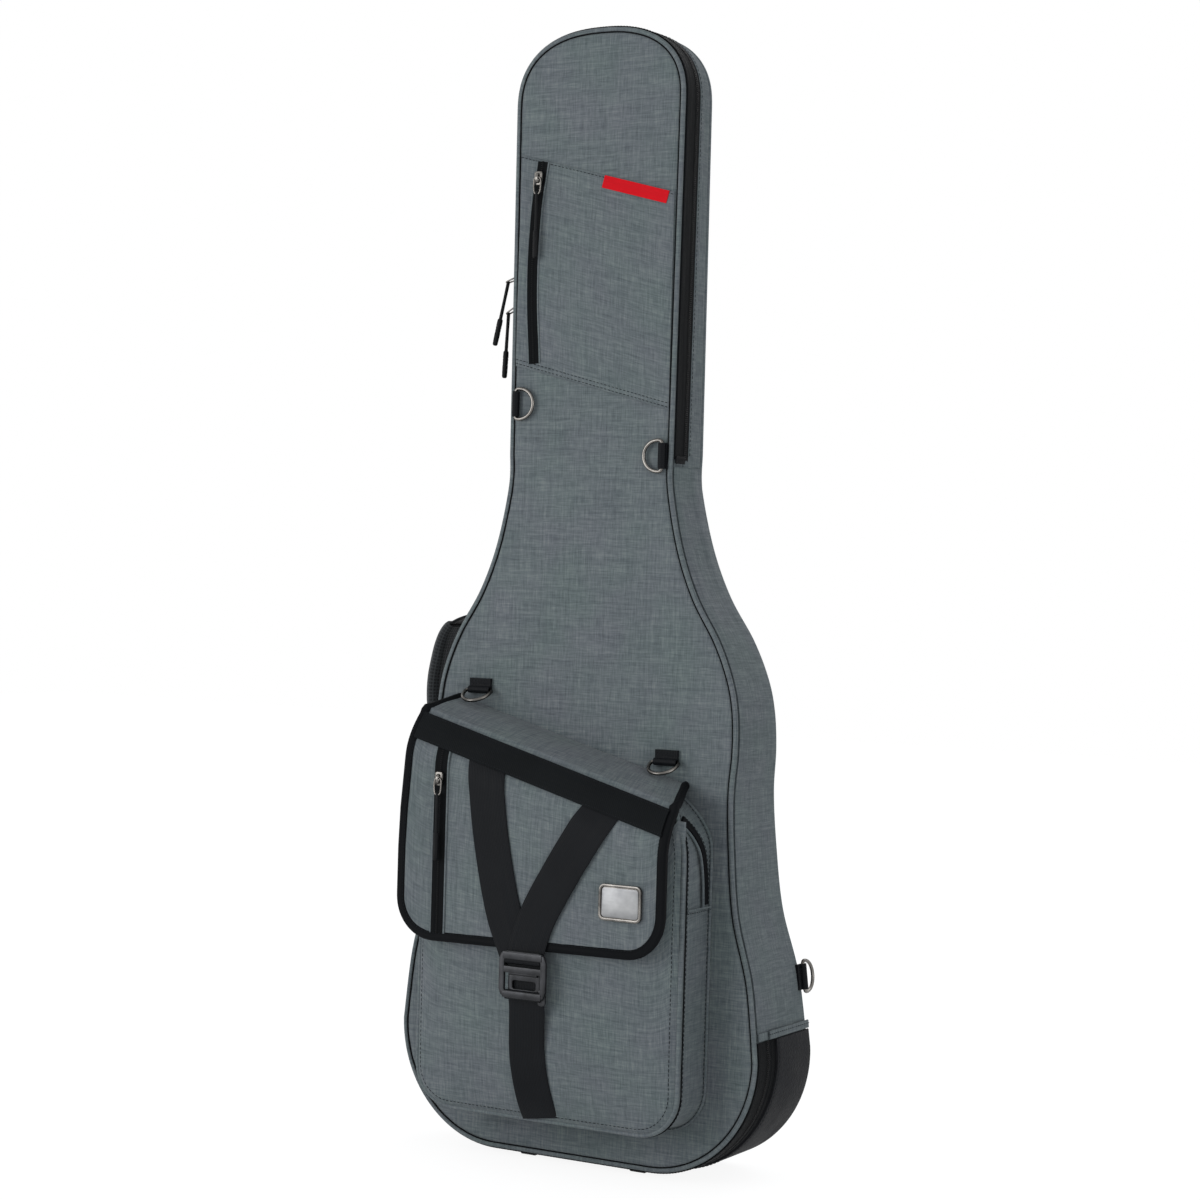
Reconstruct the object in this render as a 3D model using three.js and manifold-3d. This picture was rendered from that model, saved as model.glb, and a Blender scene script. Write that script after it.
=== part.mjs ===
// Padded gig bag for an electric guitar, standing upright. Millimetres, +Z up, front towards -Y.
//
// The bag is a shallow hinged box with a guitar's outline. A rigid-backed shell carries the back, the
// side gusset, the rubber boot and the harness. A lid carries the front panel, a neck pocket and a big
// front pocket with a buckled flap. A long zip joins the two everywhere but along the right side,
// where the uncut gusset is the hinge. While it is built, y = 0 is the front face of the lid; at the
// end the whole bag is moved so that its origin is on the floor under the middle of its box.
import * as THREE from "three";
import { mergeVertices } from "three/addons/utils/BufferGeometryUtils.js";
import Module from "manifold-3d";

const wasm = await Module();
wasm.setup();

// ---------------------------------------------------------------- driving dimensions

const GAP = 0.3; // clearance between pieces that lie on each other

// Outline of the bag, seen from the front
const HEIGHT = 1070; // floor to the top of the head
const BASE_LIFT = 8; // floor to the underside of the fabric
const BASE_HALF = 84.5; // half of the flat stretch of the base
const BOUT_HALF = 192.6; // half width at the lower bout
const BOUT_Z = 120.7; // height of the widest line
const SIDE = [
  [190, 184.5],
  [250, 168.6],
  [310, 162.4],
  [360, 160.4],
  [400, 163.3],
  [435, 162.3],
  [465, 156.2],
  [500, 141.6],
  [540, 117.5],
  [585, 100.1],
  [640, 88.6],
  [672, 88.4],
]; // height and half width of the side, from lower bout to neck; it is straight from there up
const HEAD_HALF = 90.8; // half width where the head's arch begins
const HEAD_ARCH = 71; // height of the arch over the head
const HEAD_SQUARENESS = 2.4; // 2 is an ellipse, more is squarer

// Depths, front face to back face
const BASE_DEPTH = 118;
const NECK_DEPTH = 62;
const HEAD_DEPTH = 54;
const NECK_Z = 640; // where the back bends and the gusset's cross seam lies
const LID_DEPTH = 22; // front face to the zip's teeth

// Cloth, foam and wall thicknesses
const CLOTH = 4.6; // outer panel
const FOAM = 8;
const LINING = 1.2;
const WALL = 12; // gusset of the shell
const LID_WALL = 10; // gusset of the lid
const PIPING_R = 2.3;

// Zip round the bag
const TAPE = 1.0;
const TAPE_REACH = 15; // width of each half of the tape
const ZIP_LOW_Z = 139; // right side: end of the zip near the base
const ZIP_HIGH_Z = 664; // right side: end of the zip near the neck

// Boot and skids
const BOOT_TOP = 142;
const BOOT = 2.2;
const SKID_X = 60;
const SKID_WIDTH = 18;
const SKID_FRONT = 1; // skid's front end behind the lid's rear face
const SKID_BACK = 5; // skid's rear end before the bag's back

// Inside
const BLOCK_HALF = 70; // foam block at the foot
const BLOCK_HEIGHT = 28;
const BLOCK_SETBACK = 8;
const CRADLE_RISE = 18; // neck cradle above the gusset's cross seam
const CRADLE_HEIGHT = 60;
const NOTCH_HALF = 32;
const NOTCH_FLOOR = 6; // foam left under the neck
const INNER_CLEAR = 2; // cradle to the gusset on each side

// Neck pocket
const NECK_POCKET_HIGH = 934; // top seam on the centre line
const NECK_POCKET_LOW = 733; // bottom seam on the centre line
const NECK_POCKET_SLOPE = 0.26;
const NECK_POCKET_CLOTH = 2;
const NECK_ZIP = [
  [-58, 0],
  [-64, 0.25],
  [-66, 0.61],
  [-62, 1],
]; // x of the zip, and share of the way down it
const NECK_ZIP_HALF = 7;
const NECK_ZIP_TOP = 2; // zip's top below the upper seam
const NECK_ZIP_FOOT = 7; // zip's foot above the lower seam
const NECK_SLIDER_DROP = 16; // closed slider below the zip's top
const LABEL_X = 43;
const LABEL_DROP = 6.5; // label's middle below the upper seam
const LABEL_WIDTH = 69;
const LABEL_HEIGHT = 11.5;
const LABEL = 0.8;

// Front pocket
const POCKET_HALF = 141;
const POCKET_LOW = 52;
const POCKET_CORNER = 40;
const POCKET_DEPTH = 50;
const POCKET_WALL = 5;
const POCKET_FACE = 4.4;
const POCKET_CROWN = 17; // how far the filled face swells
const MOUTH_DIP = 4; // sag of the mouth's edge in the middle
const POCKET_MOUTH = 50; // flap seam down to the front edge of the mouth

// Flap
const FLAP_OVERHANG = 4; // past the pocket on each side
const FLAP_HALF = POCKET_HALF + FLAP_OVERHANG;
const SEAM_Z = 397.5; // height of the flap's seam on the centre line
const SEAM_SLOPE = 0.277; // the seam falls towards the right
const FOLD_CLEAR = 5; // front of the pocket's rim to the flap's fold
const FLAP_REACH = POCKET_DEPTH + FOLD_CLEAR; // seam out to the fold
const FLAP_DROP = 9; // fall of the top strip over that reach
const FLAP_THICK = 5;
const FLAP_SWELL = 22; // how far the front hangs out beyond the fold
const FLAP_SWELL_DROP = 45; // and how far below the fold it gets there
const FLAP_LOW = 217;
const FLAP_CORNER = 35;
const BINDING_R = 3;
const BAND_START = 4; // fold to the upper edge of the ribbed band
const BAND_WIDTH = 23;
const BAND = 1.2;
const FLAP_ZIP_X = -103;
const FLAP_ZIP_HALF = 8;
const FLAP_SLIDER_DROP = 7; // closed slider below the zip's top
const BADGE_X = 93;
const BADGE_Z = 265;
const BADGE_WIDTH = 44;
const BADGE_HEIGHT = 33;
const BADGE = 3;

// Webbing, buckle and small hardware
const STRAP_WIDTH = 38;
const STRAP = 1.5;
const BUCKLE = 3.4;
const BUCKLE_X = -4;
const BUCKLE_Z = 191;
const HOOK = 2.6;
const ARMS_MEET_Z = 226; // where the two arms of the V run together
const RING_WIRE = 1.75; // radius of a D-ring's wire
const RING_HALF = 14.5; // half length of a D-ring's bar, to the wire's centre
const RING_DROP = 19; // bar to the far side of the bow
const TAB_WIDTH = 24;
const TAB_PLY = 1.5; // a webbing tab is two plies
const NECK_RING_INSET = 8.6; // bar in from the side of the bag
const NECK_RING_LEFT_Z = 718;
const NECK_RING_RIGHT_Z = 669;
const FLAP_RING_LEFT_X = -112;
const FLAP_RING_RIGHT_X = 93;
const FLAP_RING_RISE = 16; // bar above the flap's seam
const FLAP_RING_RAKE = THREE.MathUtils.degToRad(21.878); // bow's fall past the flap's top strip
const FLAP_RING_TILT = Math.PI / 2 - Math.atan(FLAP_DROP / FLAP_REACH) - FLAP_RING_RAKE;
const SIDE_RING_Z = 187;

// Zip sliders and pulls
const SLIDER_BASE = 3.2;
const PULL_BAR = 0.8; // radius of the pull's ring
const PULL_LENGTH = 76;
const PULL_CORD = 1.7;
const PULL_TIP = 3.2;
const PULL_TIP_LENGTH = 26;
const PULL_LOOP = 15; // length of the pull's metal loop
const MAIN_UPPER_Z = 842;
const MAIN_LOWER_Z = 814;
const UPPER_PULL_REST = THREE.MathUtils.degToRad(16); // it hangs over the lower slider

// Side handle
const HANDLE_Y = 55; // middle of the handle, behind the front face
const HANDLE_WIDTH = 32;
const HANDLE_PAD = 14;
const HANDLE_STANDOFF = 33;
const HANDLE_HIGH = 508; // where the upper end leaves the gusset
const HANDLE_LOW = 352; // and the lower end
const HANDLE_SEWN = 22; // length sewn flat at each end

// Harness on the back
const HARNESS_TOP = 575;
const PAD_WIDTH = 60;
const PAD_THICK = 12;
const WEB_WIDTH = 25;
const YOKE = 3;
const LOCK = 5; // thickness of a strap adjuster
const LOCK_OUT = 12; // adjuster off the bag's back

const FINISH = {
  canvas: { color: 0x62696c, roughness: 0.92, metalness: 0 },
  shadeCanvas: { color: 0x5b6164, roughness: 0.92, metalness: 0 },
  webbing: { color: 0x23272a, roughness: 0.6, metalness: 0 },
  tape: { color: 0x17191b, roughness: 0.8, metalness: 0 },
  rubber: { color: 0x2d2f32, roughness: 0.75, metalness: 0 },
  foam: { color: 0x3a3d40, roughness: 0.95, metalness: 0 },
  plush: { color: 0x4a4f52, roughness: 1, metalness: 0 },
  mesh: { color: 0x2b2e30, roughness: 0.95, metalness: 0 },
  nickel: { color: 0xb9b4ab, roughness: 0.25, metalness: 1 },
  gunmetal: { color: 0x3b3d40, roughness: 0.45, metalness: 0.8 },
  silver: { color: 0xc9cacb, roughness: 0.3, metalness: 1 },
  plastic: { color: 0x1b1c1e, roughness: 0.5, metalness: 0 },
  red: { color: 0xc8161d, roughness: 0.6, metalness: 0 },
};

// ---------------------------------------------------------------- solids

// A geometry as a solid for joining and cutting.
function toSolid(geometry) {
  const bare = geometry.clone();
  bare.deleteAttribute("normal");
  bare.deleteAttribute("uv");
  const merged = mergeVertices(bare, 1e-4);
  return new wasm.Manifold(
    new wasm.Mesh({
      numProp: 3,
      vertProperties: merged.attributes.position.array,
      triVerts: new Uint32Array(merged.index.array),
    }),
  );
}

function toGeometry(solid) {
  const mesh = solid.getMesh();
  const geometry = new THREE.BufferGeometry();
  geometry.setAttribute("position", new THREE.BufferAttribute(mesh.vertProperties, 3));
  geometry.setIndex(new THREE.BufferAttribute(mesh.triVerts, 1));
  geometry.computeVertexNormals();
  return geometry;
}

function join(...pieces) {
  return toGeometry(pieces.map(toSolid).reduce((whole, piece) => whole.add(piece)));
}

function cut(body, ...tools) {
  return toGeometry(tools.map(toSolid).reduce((rest, tool) => rest.subtract(tool), toSolid(body)));
}

// The triangles of a flat outline, each turned the way the outline runs.
function capTriangles(outline) {
  const contour = outline.map(([u, v]) => new THREE.Vector2(u, v));
  const way = Math.sign(THREE.ShapeUtils.area(contour));
  return THREE.ShapeUtils.triangulateShape(contour, []).map(([a, b, c]) => {
    const turn = THREE.ShapeUtils.area([contour[a], contour[b], contour[c]]);
    return Math.sign(turn) === way ? [a, b, c] : [a, c, b];
  });
}

// A closed solid through rings of points. Open lofts are capped: flat gives a point's place on the
// plane of the end ring.
function loft(rings, flat, closed = false) {
  const count = rings[0].length;
  const index = [];
  const spans = closed ? rings.length : rings.length - 1;
  for (let r = 0; r < spans; r++) {
    const here = r * count;
    const next = ((r + 1) % rings.length) * count;
    for (let i = 0; i < count; i++) {
      const j = (i + 1) % count;
      index.push(here + i, here + j, next + j, here + i, next + j, next + i);
    }
  }
  if (!closed) {
    const last = (rings.length - 1) * count;
    for (const [a, b, c] of capTriangles(rings[0].map(flat))) index.push(a, c, b);
    for (const [a, b, c] of capTriangles(rings.at(-1).map(flat))) {
      index.push(last + a, last + b, last + c);
    }
  }
  const points = rings.flat();
  const volume = index.reduce((sum, _, k) => {
    if (k % 3) return sum;
    const [a, b, c] = [points[index[k]], points[index[k + 1]], points[index[k + 2]]];
    return sum + a.dot(b.clone().cross(c));
  }, 0);
  if (volume < 0) index.reverse();
  const geometry = new THREE.BufferGeometry().setFromPoints(points);
  geometry.setIndex(index);
  geometry.computeVertexNormals();
  return geometry;
}

// A plate whose outline is given as [x, z] points, between a front and a back given in y. Either may
// be a function of the height, as the bag's back leans.
function plate(outline, front, back, holes = []) {
  const shape = new THREE.Shape(outline.map(([x, z]) => new THREE.Vector2(x, z)));
  shape.holes = holes.map((hole) => new THREE.Path(hole.map(([x, z]) => new THREE.Vector2(x, z))));
  const geometry = new THREE.ExtrudeGeometry(shape, { depth: 1, bevelEnabled: false, steps: 1 });
  const place = geometry.attributes.position;
  for (let i = 0; i < place.count; i++) {
    const z = place.getY(i);
    const side = place.getZ(i) > 0.5 ? front : back;
    place.setXYZ(i, place.getX(i), typeof side === "function" ? side(z) : side, z);
  }
  return geometry;
}

// A profile of [across, out] points carried along a path. "out" stays as near as it can to the given
// direction, and "across" is square to it and to the path.
function sweep(path, profile, out, closed = false) {
  const rings = path.map((point, i) => {
    const before = path[closed ? (i + path.length - 1) % path.length : Math.max(i - 1, 0)];
    const after = path[closed ? (i + 1) % path.length : Math.min(i + 1, path.length - 1)];
    const along = after.clone().sub(before).normalize();
    const across = along.clone().cross(out).normalize();
    const up = across.clone().cross(along);
    const outline = typeof profile === "function" ? profile(i / (path.length - 1)) : profile;
    return outline.map(([a, b]) => point.clone().addScaledVector(across, a).addScaledVector(up, b));
  });
  const frame = typeof profile === "function" ? profile(0) : profile;
  const order = new Map(rings[0].map((point, i) => [point, frame[i]]));
  rings.at(-1).forEach((point, i) => order.set(point, frame[i]));
  return loft(rings, (point) => order.get(point), closed);
}

function circle(radius, sides, phase = 0) {
  return Array.from({ length: sides }, (_, i) => {
    const turn = (2 * Math.PI * i) / sides + phase;
    return [radius * Math.cos(turn), radius * Math.sin(turn)];
  });
}

function slab(width, thickness) {
  return [
    [-width / 2, -thickness / 2],
    [width / 2, -thickness / 2],
    [width / 2, thickness / 2],
    [-width / 2, thickness / 2],
  ];
}

function roundedRect(width, height, radius, steps = 4) {
  const points = [];
  for (let corner = 0; corner < 4; corner++) {
    const middleX = (corner === 0 || corner === 3 ? 1 : -1) * (width / 2 - radius);
    const middleY = (corner < 2 ? 1 : -1) * (height / 2 - radius);
    for (let k = 0; k <= steps; k++) {
      const turn = (Math.PI / 2) * (corner + k / steps);
      points.push([middleX + radius * Math.cos(turn), middleY + radius * Math.sin(turn)]);
    }
  }
  return points;
}

const shifted = (outline, x, z) => outline.map(([u, v]) => [u + x, v + z]);
const vector = (x, y, z) => new THREE.Vector3(x, y, z);
const smoothPath = (points, steps) =>
  new THREE.CatmullRomCurve3(points.map((p) => vector(...p)), false, "centripetal").getPoints(steps);

// ---------------------------------------------------------------- the bag's outline

// Right half of the outline from the middle of the base to the top of the head, as [x, z].
function halfOutline() {
  const points = [[0, BASE_LIFT]];
  const cornerSteps = 8;
  for (let k = 0; k <= cornerSteps; k++) {
    const turn = ((Math.PI / 2) * k) / cornerSteps;
    points.push([
      BASE_HALF + (BOUT_HALF - BASE_HALF) * Math.sin(turn),
      BASE_LIFT + (BOUT_Z - BASE_LIFT) * (1 - Math.cos(turn)),
    ]);
  }
  const springZ = HEIGHT - HEAD_ARCH;
  const knots = [[BOUT_Z, BOUT_HALF], ...SIDE];
  const side = new THREE.SplineCurve(knots.map(([z, half]) => new THREE.Vector2(half, z)));
  const sideSteps = 24;
  side.getPoints(sideSteps).slice(1).forEach((p) => points.push([p.x, p.y]));
  points.push([HEAD_HALF, springZ]);
  const archSteps = 9;
  for (let k = 1; k <= archSteps; k++) {
    const turn = ((Math.PI / 2) * k) / archSteps;
    points.push([
      k === archSteps ? 0 : HEAD_HALF * Math.cos(turn) ** (2 / HEAD_SQUARENESS),
      springZ + HEAD_ARCH * Math.sin(turn) ** (2 / HEAD_SQUARENESS),
    ]);
  }
  return points;
}

const HALF = halfOutline();

// The right half moved inwards by an inset, square to itself.
function insetHalf(inset) {
  return HALF.map(([x, z], i) => {
    const last = HALF.length - 1;
    if (i === 0) return [0, z + inset];
    if (i === last) return [0, z - inset];
    const [x0, z0] = HALF[i - 1];
    const [x1, z1] = HALF[i + 1];
    const length = Math.hypot(x1 - x0, z1 - z0);
    return [x - (inset * (z1 - z0)) / length, z + (inset * (x1 - x0)) / length];
  });
}

// The stretch of a half outline between two heights, with its ends cut square.
function stretch(half, low, high) {
  const points = [];
  half.forEach(([x, z], i) => {
    const next = half[i + 1];
    if (z >= low && z <= high) points.push([x, z]);
    if (!next) return;
    const crossings = [low, high].filter((level) => (z - level) * (next[1] - level) < 0);
    crossings.sort((a, b) => (next[1] > z ? a - b : b - a));
    for (const level of crossings) {
      const share = (level - z) / (next[1] - z);
      points.push([x + share * (next[0] - x), level]);
    }
  });
  return points;
}

const mirrored = (points) => points.map(([x, z]) => [-x, z]);
const wholeOutline = (inset) => {
  const half = insetHalf(inset);
  return [...half, ...mirrored(half.slice(1, -1)).reverse()];
};

// Half width of the bag at a height above the widest line, and the slope of its side there.
function sideAt(z) {
  const index = HALF.findIndex((point, i) => i > 0 && point[1] >= z && HALF[i - 1][1] < z);
  const [x0, z0] = HALF[index - 1];
  const [x1, z1] = HALF[index];
  return { x: x0 + ((z - z0) / (z1 - z0)) * (x1 - x0), lean: Math.atan2(x1 - x0, z1 - z0) };
}

// The back leans forwards in one plane up to the neck and in another above it.
const bodyBack = (z) => BASE_DEPTH + ((NECK_DEPTH - BASE_DEPTH) * z) / NECK_Z;
const neckBack = (z) => NECK_DEPTH + ((HEAD_DEPTH - NECK_DEPTH) * (z - NECK_Z)) / (HEIGHT - NECK_Z);
const before = (plane, distance) => (z) => plane(z) - distance;

// A layer of the bag's full outline between two distances in front of the back face, bent at the neck.
function backLayer(inset, near, far) {
  const half = insetHalf(inset);
  const bend = 2; // the two slabs share this much so that they join
  const body = stretch(half, 0, NECK_Z + bend);
  const neck = stretch(half, NECK_Z - bend, HEIGHT);
  const bodyOutline = [...body, ...mirrored(body.slice(1)).reverse()];
  const neckOutline = [...neck, ...mirrored(neck.slice(0, -1)).reverse()];
  const lower = plate(bodyOutline, before(bodyBack, far), before(bodyBack, near));
  const upper = plate(neckOutline, before(neckBack, far), before(neckBack, near));
  return join(lower, upper);
}

// ---------------------------------------------------------------- assembly

const bag = new THREE.Group();

function add(name, geometry, finish, parent = bag) {
  const mesh = new THREE.Mesh(geometry, new THREE.MeshStandardMaterial(FINISH[finish]));
  mesh.name = name;
  parent.add(mesh);
  return mesh;
}

// ---- shell: back, gusset, boot, zip tape

const shellFront = LID_DEPTH + GAP / 2;

function addShell() {
  add("back_panel", backLayer(0, 0, CLOTH), "canvas");
  add("back_foam", backLayer(WALL + GAP, CLOTH + GAP, CLOTH + GAP + FOAM), "foam");
  const liningFrom = CLOTH + FOAM + 2 * GAP;
  add("back_lining", backLayer(WALL + GAP, liningFrom, liningFrom + LINING), "plush");

  const outer = insetHalf(0);
  const inner = insetHalf(WALL);
  const strip = (low, high) => [...stretch(outer, low, high), ...stretch(inner, low, high).reverse()];
  // The two strips meet in the middle of the base.
  const bodyStrip = strip(0, NECK_Z - GAP / 2).map(([x, z]) => [Math.max(x, GAP / 2), z]);
  const rear = before(bodyBack, CLOTH + GAP);
  add("gusset_right", plate(bodyStrip, shellFront, rear), "shadeCanvas");
  add("gusset_left", plate(mirrored(bodyStrip).reverse(), shellFront, rear), "shadeCanvas");

  const neckOuter = stretch(outer, NECK_Z + GAP / 2, HEIGHT);
  const neckInner = stretch(inner, NECK_Z + GAP / 2, HEIGHT);
  const arch = [
    ...neckOuter,
    ...mirrored(neckOuter.slice(0, -1)).reverse(),
    ...mirrored(neckInner.slice(0, -1)),
    ...neckInner.slice().reverse(),
  ];
  add("gusset_neck", plate(arch, shellFront, before(neckBack, CLOTH + GAP)), "shadeCanvas");
}

// A band lying on the outside of the gusset, from the zip's low end round the base, up the left side
// and over the head to its high end.
function zipBand(front, back) {
  const near = insetHalf(-GAP);
  const far = insetHalf(-GAP - TAPE);
  const run = (half) => [
    ...stretch(half, 0, ZIP_LOW_Z).slice(1).reverse(),
    ...mirrored(half.slice(0, -1)),
    ...stretch(half, ZIP_HIGH_Z, HEIGHT * 2).reverse(),
  ];
  return plate([...run(far), ...run(near).reverse()], front, back);
}

function addBoot() {
  const near = stretch(insetHalf(-GAP), 0, BOOT_TOP);
  const far = stretch(insetHalf(-GAP - BOOT), 0, BOOT_TOP);
  const bothSides = (half) => [...half.slice(1).reverse(), ...mirrored(half)];
  const front = LID_DEPTH + TAPE_REACH + GAP;
  const skin = plate([...bothSides(far), ...bothSides(near).reverse()], front, bodyBack);
  const underside = BASE_LIFT - GAP - BOOT;
  const skidHeight = underside + 0.2; // its top runs into the boot's skin
  const skidNear = LID_DEPTH + SKID_FRONT;
  const skidFar = bodyBack(0) - SKID_BACK;
  const skids = [-SKID_X, SKID_X].map((x) => {
    const skid = new THREE.BoxGeometry(SKID_WIDTH, skidFar - skidNear, skidHeight);
    skid.translate(x, (skidFar + skidNear) / 2, skidHeight / 2);
    return skid;
  });
  add("boot", join(skin, ...skids), "rubber");
}

// ---- inside the shell

function addInterior() {
  const padding = CLOTH + FOAM + LINING + 3 * GAP;
  const upright = (half, low, high) => shifted(slab(2 * half, high - low), 0, (low + high) / 2);
  const blockLow = BASE_LIFT + WALL + GAP;
  const block = upright(BLOCK_HALF, blockLow, blockLow + BLOCK_HEIGHT);
  add("end_block", plate(block, LID_DEPTH + BLOCK_SETBACK, before(bodyBack, padding)), "foam");

  const cradleLow = NECK_Z + CRADLE_RISE;
  const cradleHigh = cradleLow + CRADLE_HEIGHT;
  const cradleHalf = sideAt(cradleLow).x - WALL - INNER_CLEAR;
  const body = plate(upright(cradleHalf, cradleLow, cradleHigh), LID_DEPTH + 1, before(neckBack, padding));
  const past = 5; // the notch's tool reaches beyond the foam
  const notch = plate(
    upright(NOTCH_HALF, cradleLow - past, cradleHigh + past),
    LID_DEPTH - past,
    before(neckBack, padding + NOTCH_FLOOR),
  );
  add("neck_cradle", cut(body, notch), "foam");
}

// ---- lid

const lidRear = LID_DEPTH - GAP / 2;
const pipingReach = 2 * PIPING_R + GAP; // room the piping takes at the panel's rim

function addLid() {
  const rim = pipingReach;
  add("lid_panel", plate(wholeOutline(rim), 0, CLOTH), "canvas");
  const cord = wholeOutline(PIPING_R).map(([x, z]) => vector(x, PIPING_R, z));
  add("lid_piping", sweep(cord, circle(PIPING_R, 6, Math.PI / 6), vector(0, -1, 0), true), "canvas");
  const band = plate(wholeOutline(0), rim, lidRear, [wholeOutline(LID_WALL)]);
  add("lid_band", band, "shadeCanvas");
  const foamFrom = CLOTH + GAP;
  const padding = wholeOutline(LID_WALL + GAP);
  add("lid_foam", plate(padding, foamFrom, foamFrom + FOAM), "foam");
  const liningFrom = foamFrom + FOAM + GAP;
  add("lid_lining", plate(padding, liningFrom, liningFrom + LINING), "plush");
}

// ---- neck pocket

const neckPocketFace = -GAP - NECK_POCKET_CLOTH;

// A place on the neck pocket's zip, a share of the way down it.
function neckZipPoint(x, share) {
  const top = NECK_POCKET_HIGH - NECK_POCKET_SLOPE * x - NECK_ZIP_TOP;
  const foot = NECK_POCKET_LOW - NECK_POCKET_SLOPE * x + NECK_ZIP_FOOT;
  return [x, 0, top + share * (foot - top)];
}
const neckZip = smoothPath(NECK_ZIP.map(([x, share]) => neckZipPoint(x, share)), 10).map((p) => [p.x, p.z]);

function addNeckPocket() {
  const edge = (z) => sideAt(z).x - pipingReach - 1;
  const corner = (side, level) => {
    const z = level - side * NECK_POCKET_SLOPE * edge(level);
    return [side * edge(z), z];
  };
  const outline = [
    corner(-1, NECK_POCKET_LOW),
    corner(1, NECK_POCKET_LOW),
    corner(1, NECK_POCKET_HIGH),
    corner(-1, NECK_POCKET_HIGH),
  ];
  add("neck_pocket_panel", plate(outline, neckPocketFace, -GAP), "canvas");

  const strip = [
    ...neckZip.map(([x, z]) => [x - NECK_ZIP_HALF, z]),
    ...neckZip.map(([x, z]) => [x + NECK_ZIP_HALF, z]).reverse(),
  ];
  add("neck_pocket_zip", plate(strip, neckPocketFace - GAP - TAPE, neckPocketFace - GAP), "tape");

  const label = new THREE.BoxGeometry(LABEL_WIDTH, LABEL, LABEL_HEIGHT);
  const labelZ = NECK_POCKET_HIGH - LABEL_X * NECK_POCKET_SLOPE - LABEL_DROP;
  label.rotateY(Math.atan(NECK_POCKET_SLOPE));
  label.translate(LABEL_X, neckPocketFace - GAP - LABEL / 2, labelZ);
  add("blank_label", label, "red");
}

// ---- front pocket

const seamZ = (x) => SEAM_Z - SEAM_SLOPE * x;
const mouthZ = (x) => seamZ(x) - POCKET_MOUTH - MOUTH_DIP * (1 - (x / POCKET_HALF) ** 2);
const pocketRim = -POCKET_DEPTH;

// How far the pocket's face swells forwards at a place.
function crown(x, z) {
  const middle = (POCKET_LOW + mouthZ(0)) / 2;
  const half = (mouthZ(0) - POCKET_LOW) / 2;
  const across = Math.min(1, Math.abs(x / POCKET_HALF) ** 3);
  const down = Math.min(1, Math.abs((z - middle) / half) ** 3);
  return POCKET_CROWN * (1 - across) * (1 - down);
}
const pocketFace = (x, z) => pocketRim - GAP - POCKET_FACE - crown(x, z);

// The pocket's U, from the top of its left side round to the top of its right side.
function pocketRun(inset, top) {
  const half = POCKET_HALF - inset;
  const low = POCKET_LOW + inset;
  const radius = POCKET_CORNER - inset;
  const steps = 6;
  const corner = Array.from({ length: steps + 1 }, (_, k) => {
    const turn = ((Math.PI / 2) * k) / steps;
    return [half - radius + radius * Math.sin(turn), low + radius - radius * Math.cos(turn)];
  });
  return [
    [-half, top(-half)],
    ...mirrored(corner).reverse(),
    ...corner,
    [half, top(half)],
  ];
}

function addPocket() {
  const underFlap = (y) => (x) =>
    seamZ(x) + (FLAP_DROP / FLAP_REACH) * y - FLAP_THICK / 2 - 3 * GAP;
  const ring = (y) =>
    [...pocketRun(0, underFlap(y)), ...pocketRun(POCKET_WALL, underFlap(y)).reverse()].map(
      ([x, z]) => vector(x, y, z),
    );
  const flat = (p) => [p.x, p.z];
  add("pocket_gusset", loft([ring(-GAP), ring(pocketRim)], flat), "shadeCanvas");

  const rim = pocketRun(0, mouthZ);
  const top = Array.from({ length: 7 }, (_, k) => {
    const x = POCKET_HALF * (1 - (k + 1) / 4);
    return [x, mouthZ(x)];
  });
  const edge = [...rim, ...top];
  const middleZ = (POCKET_LOW + mouthZ(0)) / 2;
  const sizes = [1, 0.9, 0.75, 0.5, 0.25];
  const layer = (size, back) =>
    edge.map(([x, z]) => {
      const px = x * size;
      const pz = middleZ + (z - middleZ) * size;
      return vector(px, pocketFace(px, pz) + back, pz);
    });
  const rings = [
    ...sizes.slice().reverse().map((size) => layer(size, POCKET_FACE)),
    ...sizes.map((size) => layer(size, 0)),
  ];
  add("pocket_face", loft(rings, flat), "canvas");
}

// ---- flap

const foldZ = (x) => seamZ(x) - FLAP_DROP;
const flapLow = (x) => {
  const past = Math.max(0, Math.abs(x) - (FLAP_HALF - FLAP_CORNER));
  return FLAP_LOW + FLAP_CORNER - Math.sqrt(Math.max(0, FLAP_CORNER ** 2 - past ** 2));
};

// Middle of the flap's thickness at a drop below the fold, as y, and its slope there.
const flapMiddle = (drop) => {
  const rest = 1 - Math.min(1, Math.max(0, drop) / FLAP_SWELL_DROP);
  return -FLAP_REACH - FLAP_SWELL * (1 - rest ** 2);
};
const flapLean = (drop) => {
  const rest = 1 - Math.min(1, Math.max(0, drop) / FLAP_SWELL_DROP);
  return (2 * FLAP_SWELL * rest) / FLAP_SWELL_DROP;
};

// A point beside the flap's middle surface, "out" in front of it.
function besideFlap(x, drop, out) {
  const lean = Math.atan(flapLean(drop));
  return vector(x, flapMiddle(drop) - out * Math.cos(lean), foldZ(x) - drop + out * Math.sin(lean));
}

const flapStations = (half) => {
  const straight = half - FLAP_CORNER;
  const arc = [1, 2, 3, 4].map((k) => straight + FLAP_CORNER * Math.sin((Math.PI / 8) * k));
  const right = [0, straight / 2, straight, ...arc];
  return [...right.slice(1).map((x) => -x).reverse(), ...right];
};
const flapDrops = [0.2, 0.4, 0.6, 0.8, 1].map((share) => share * FLAP_SWELL_DROP);
const flapFront = flapMiddle(FLAP_SWELL_DROP) - FLAP_THICK / 2;

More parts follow.
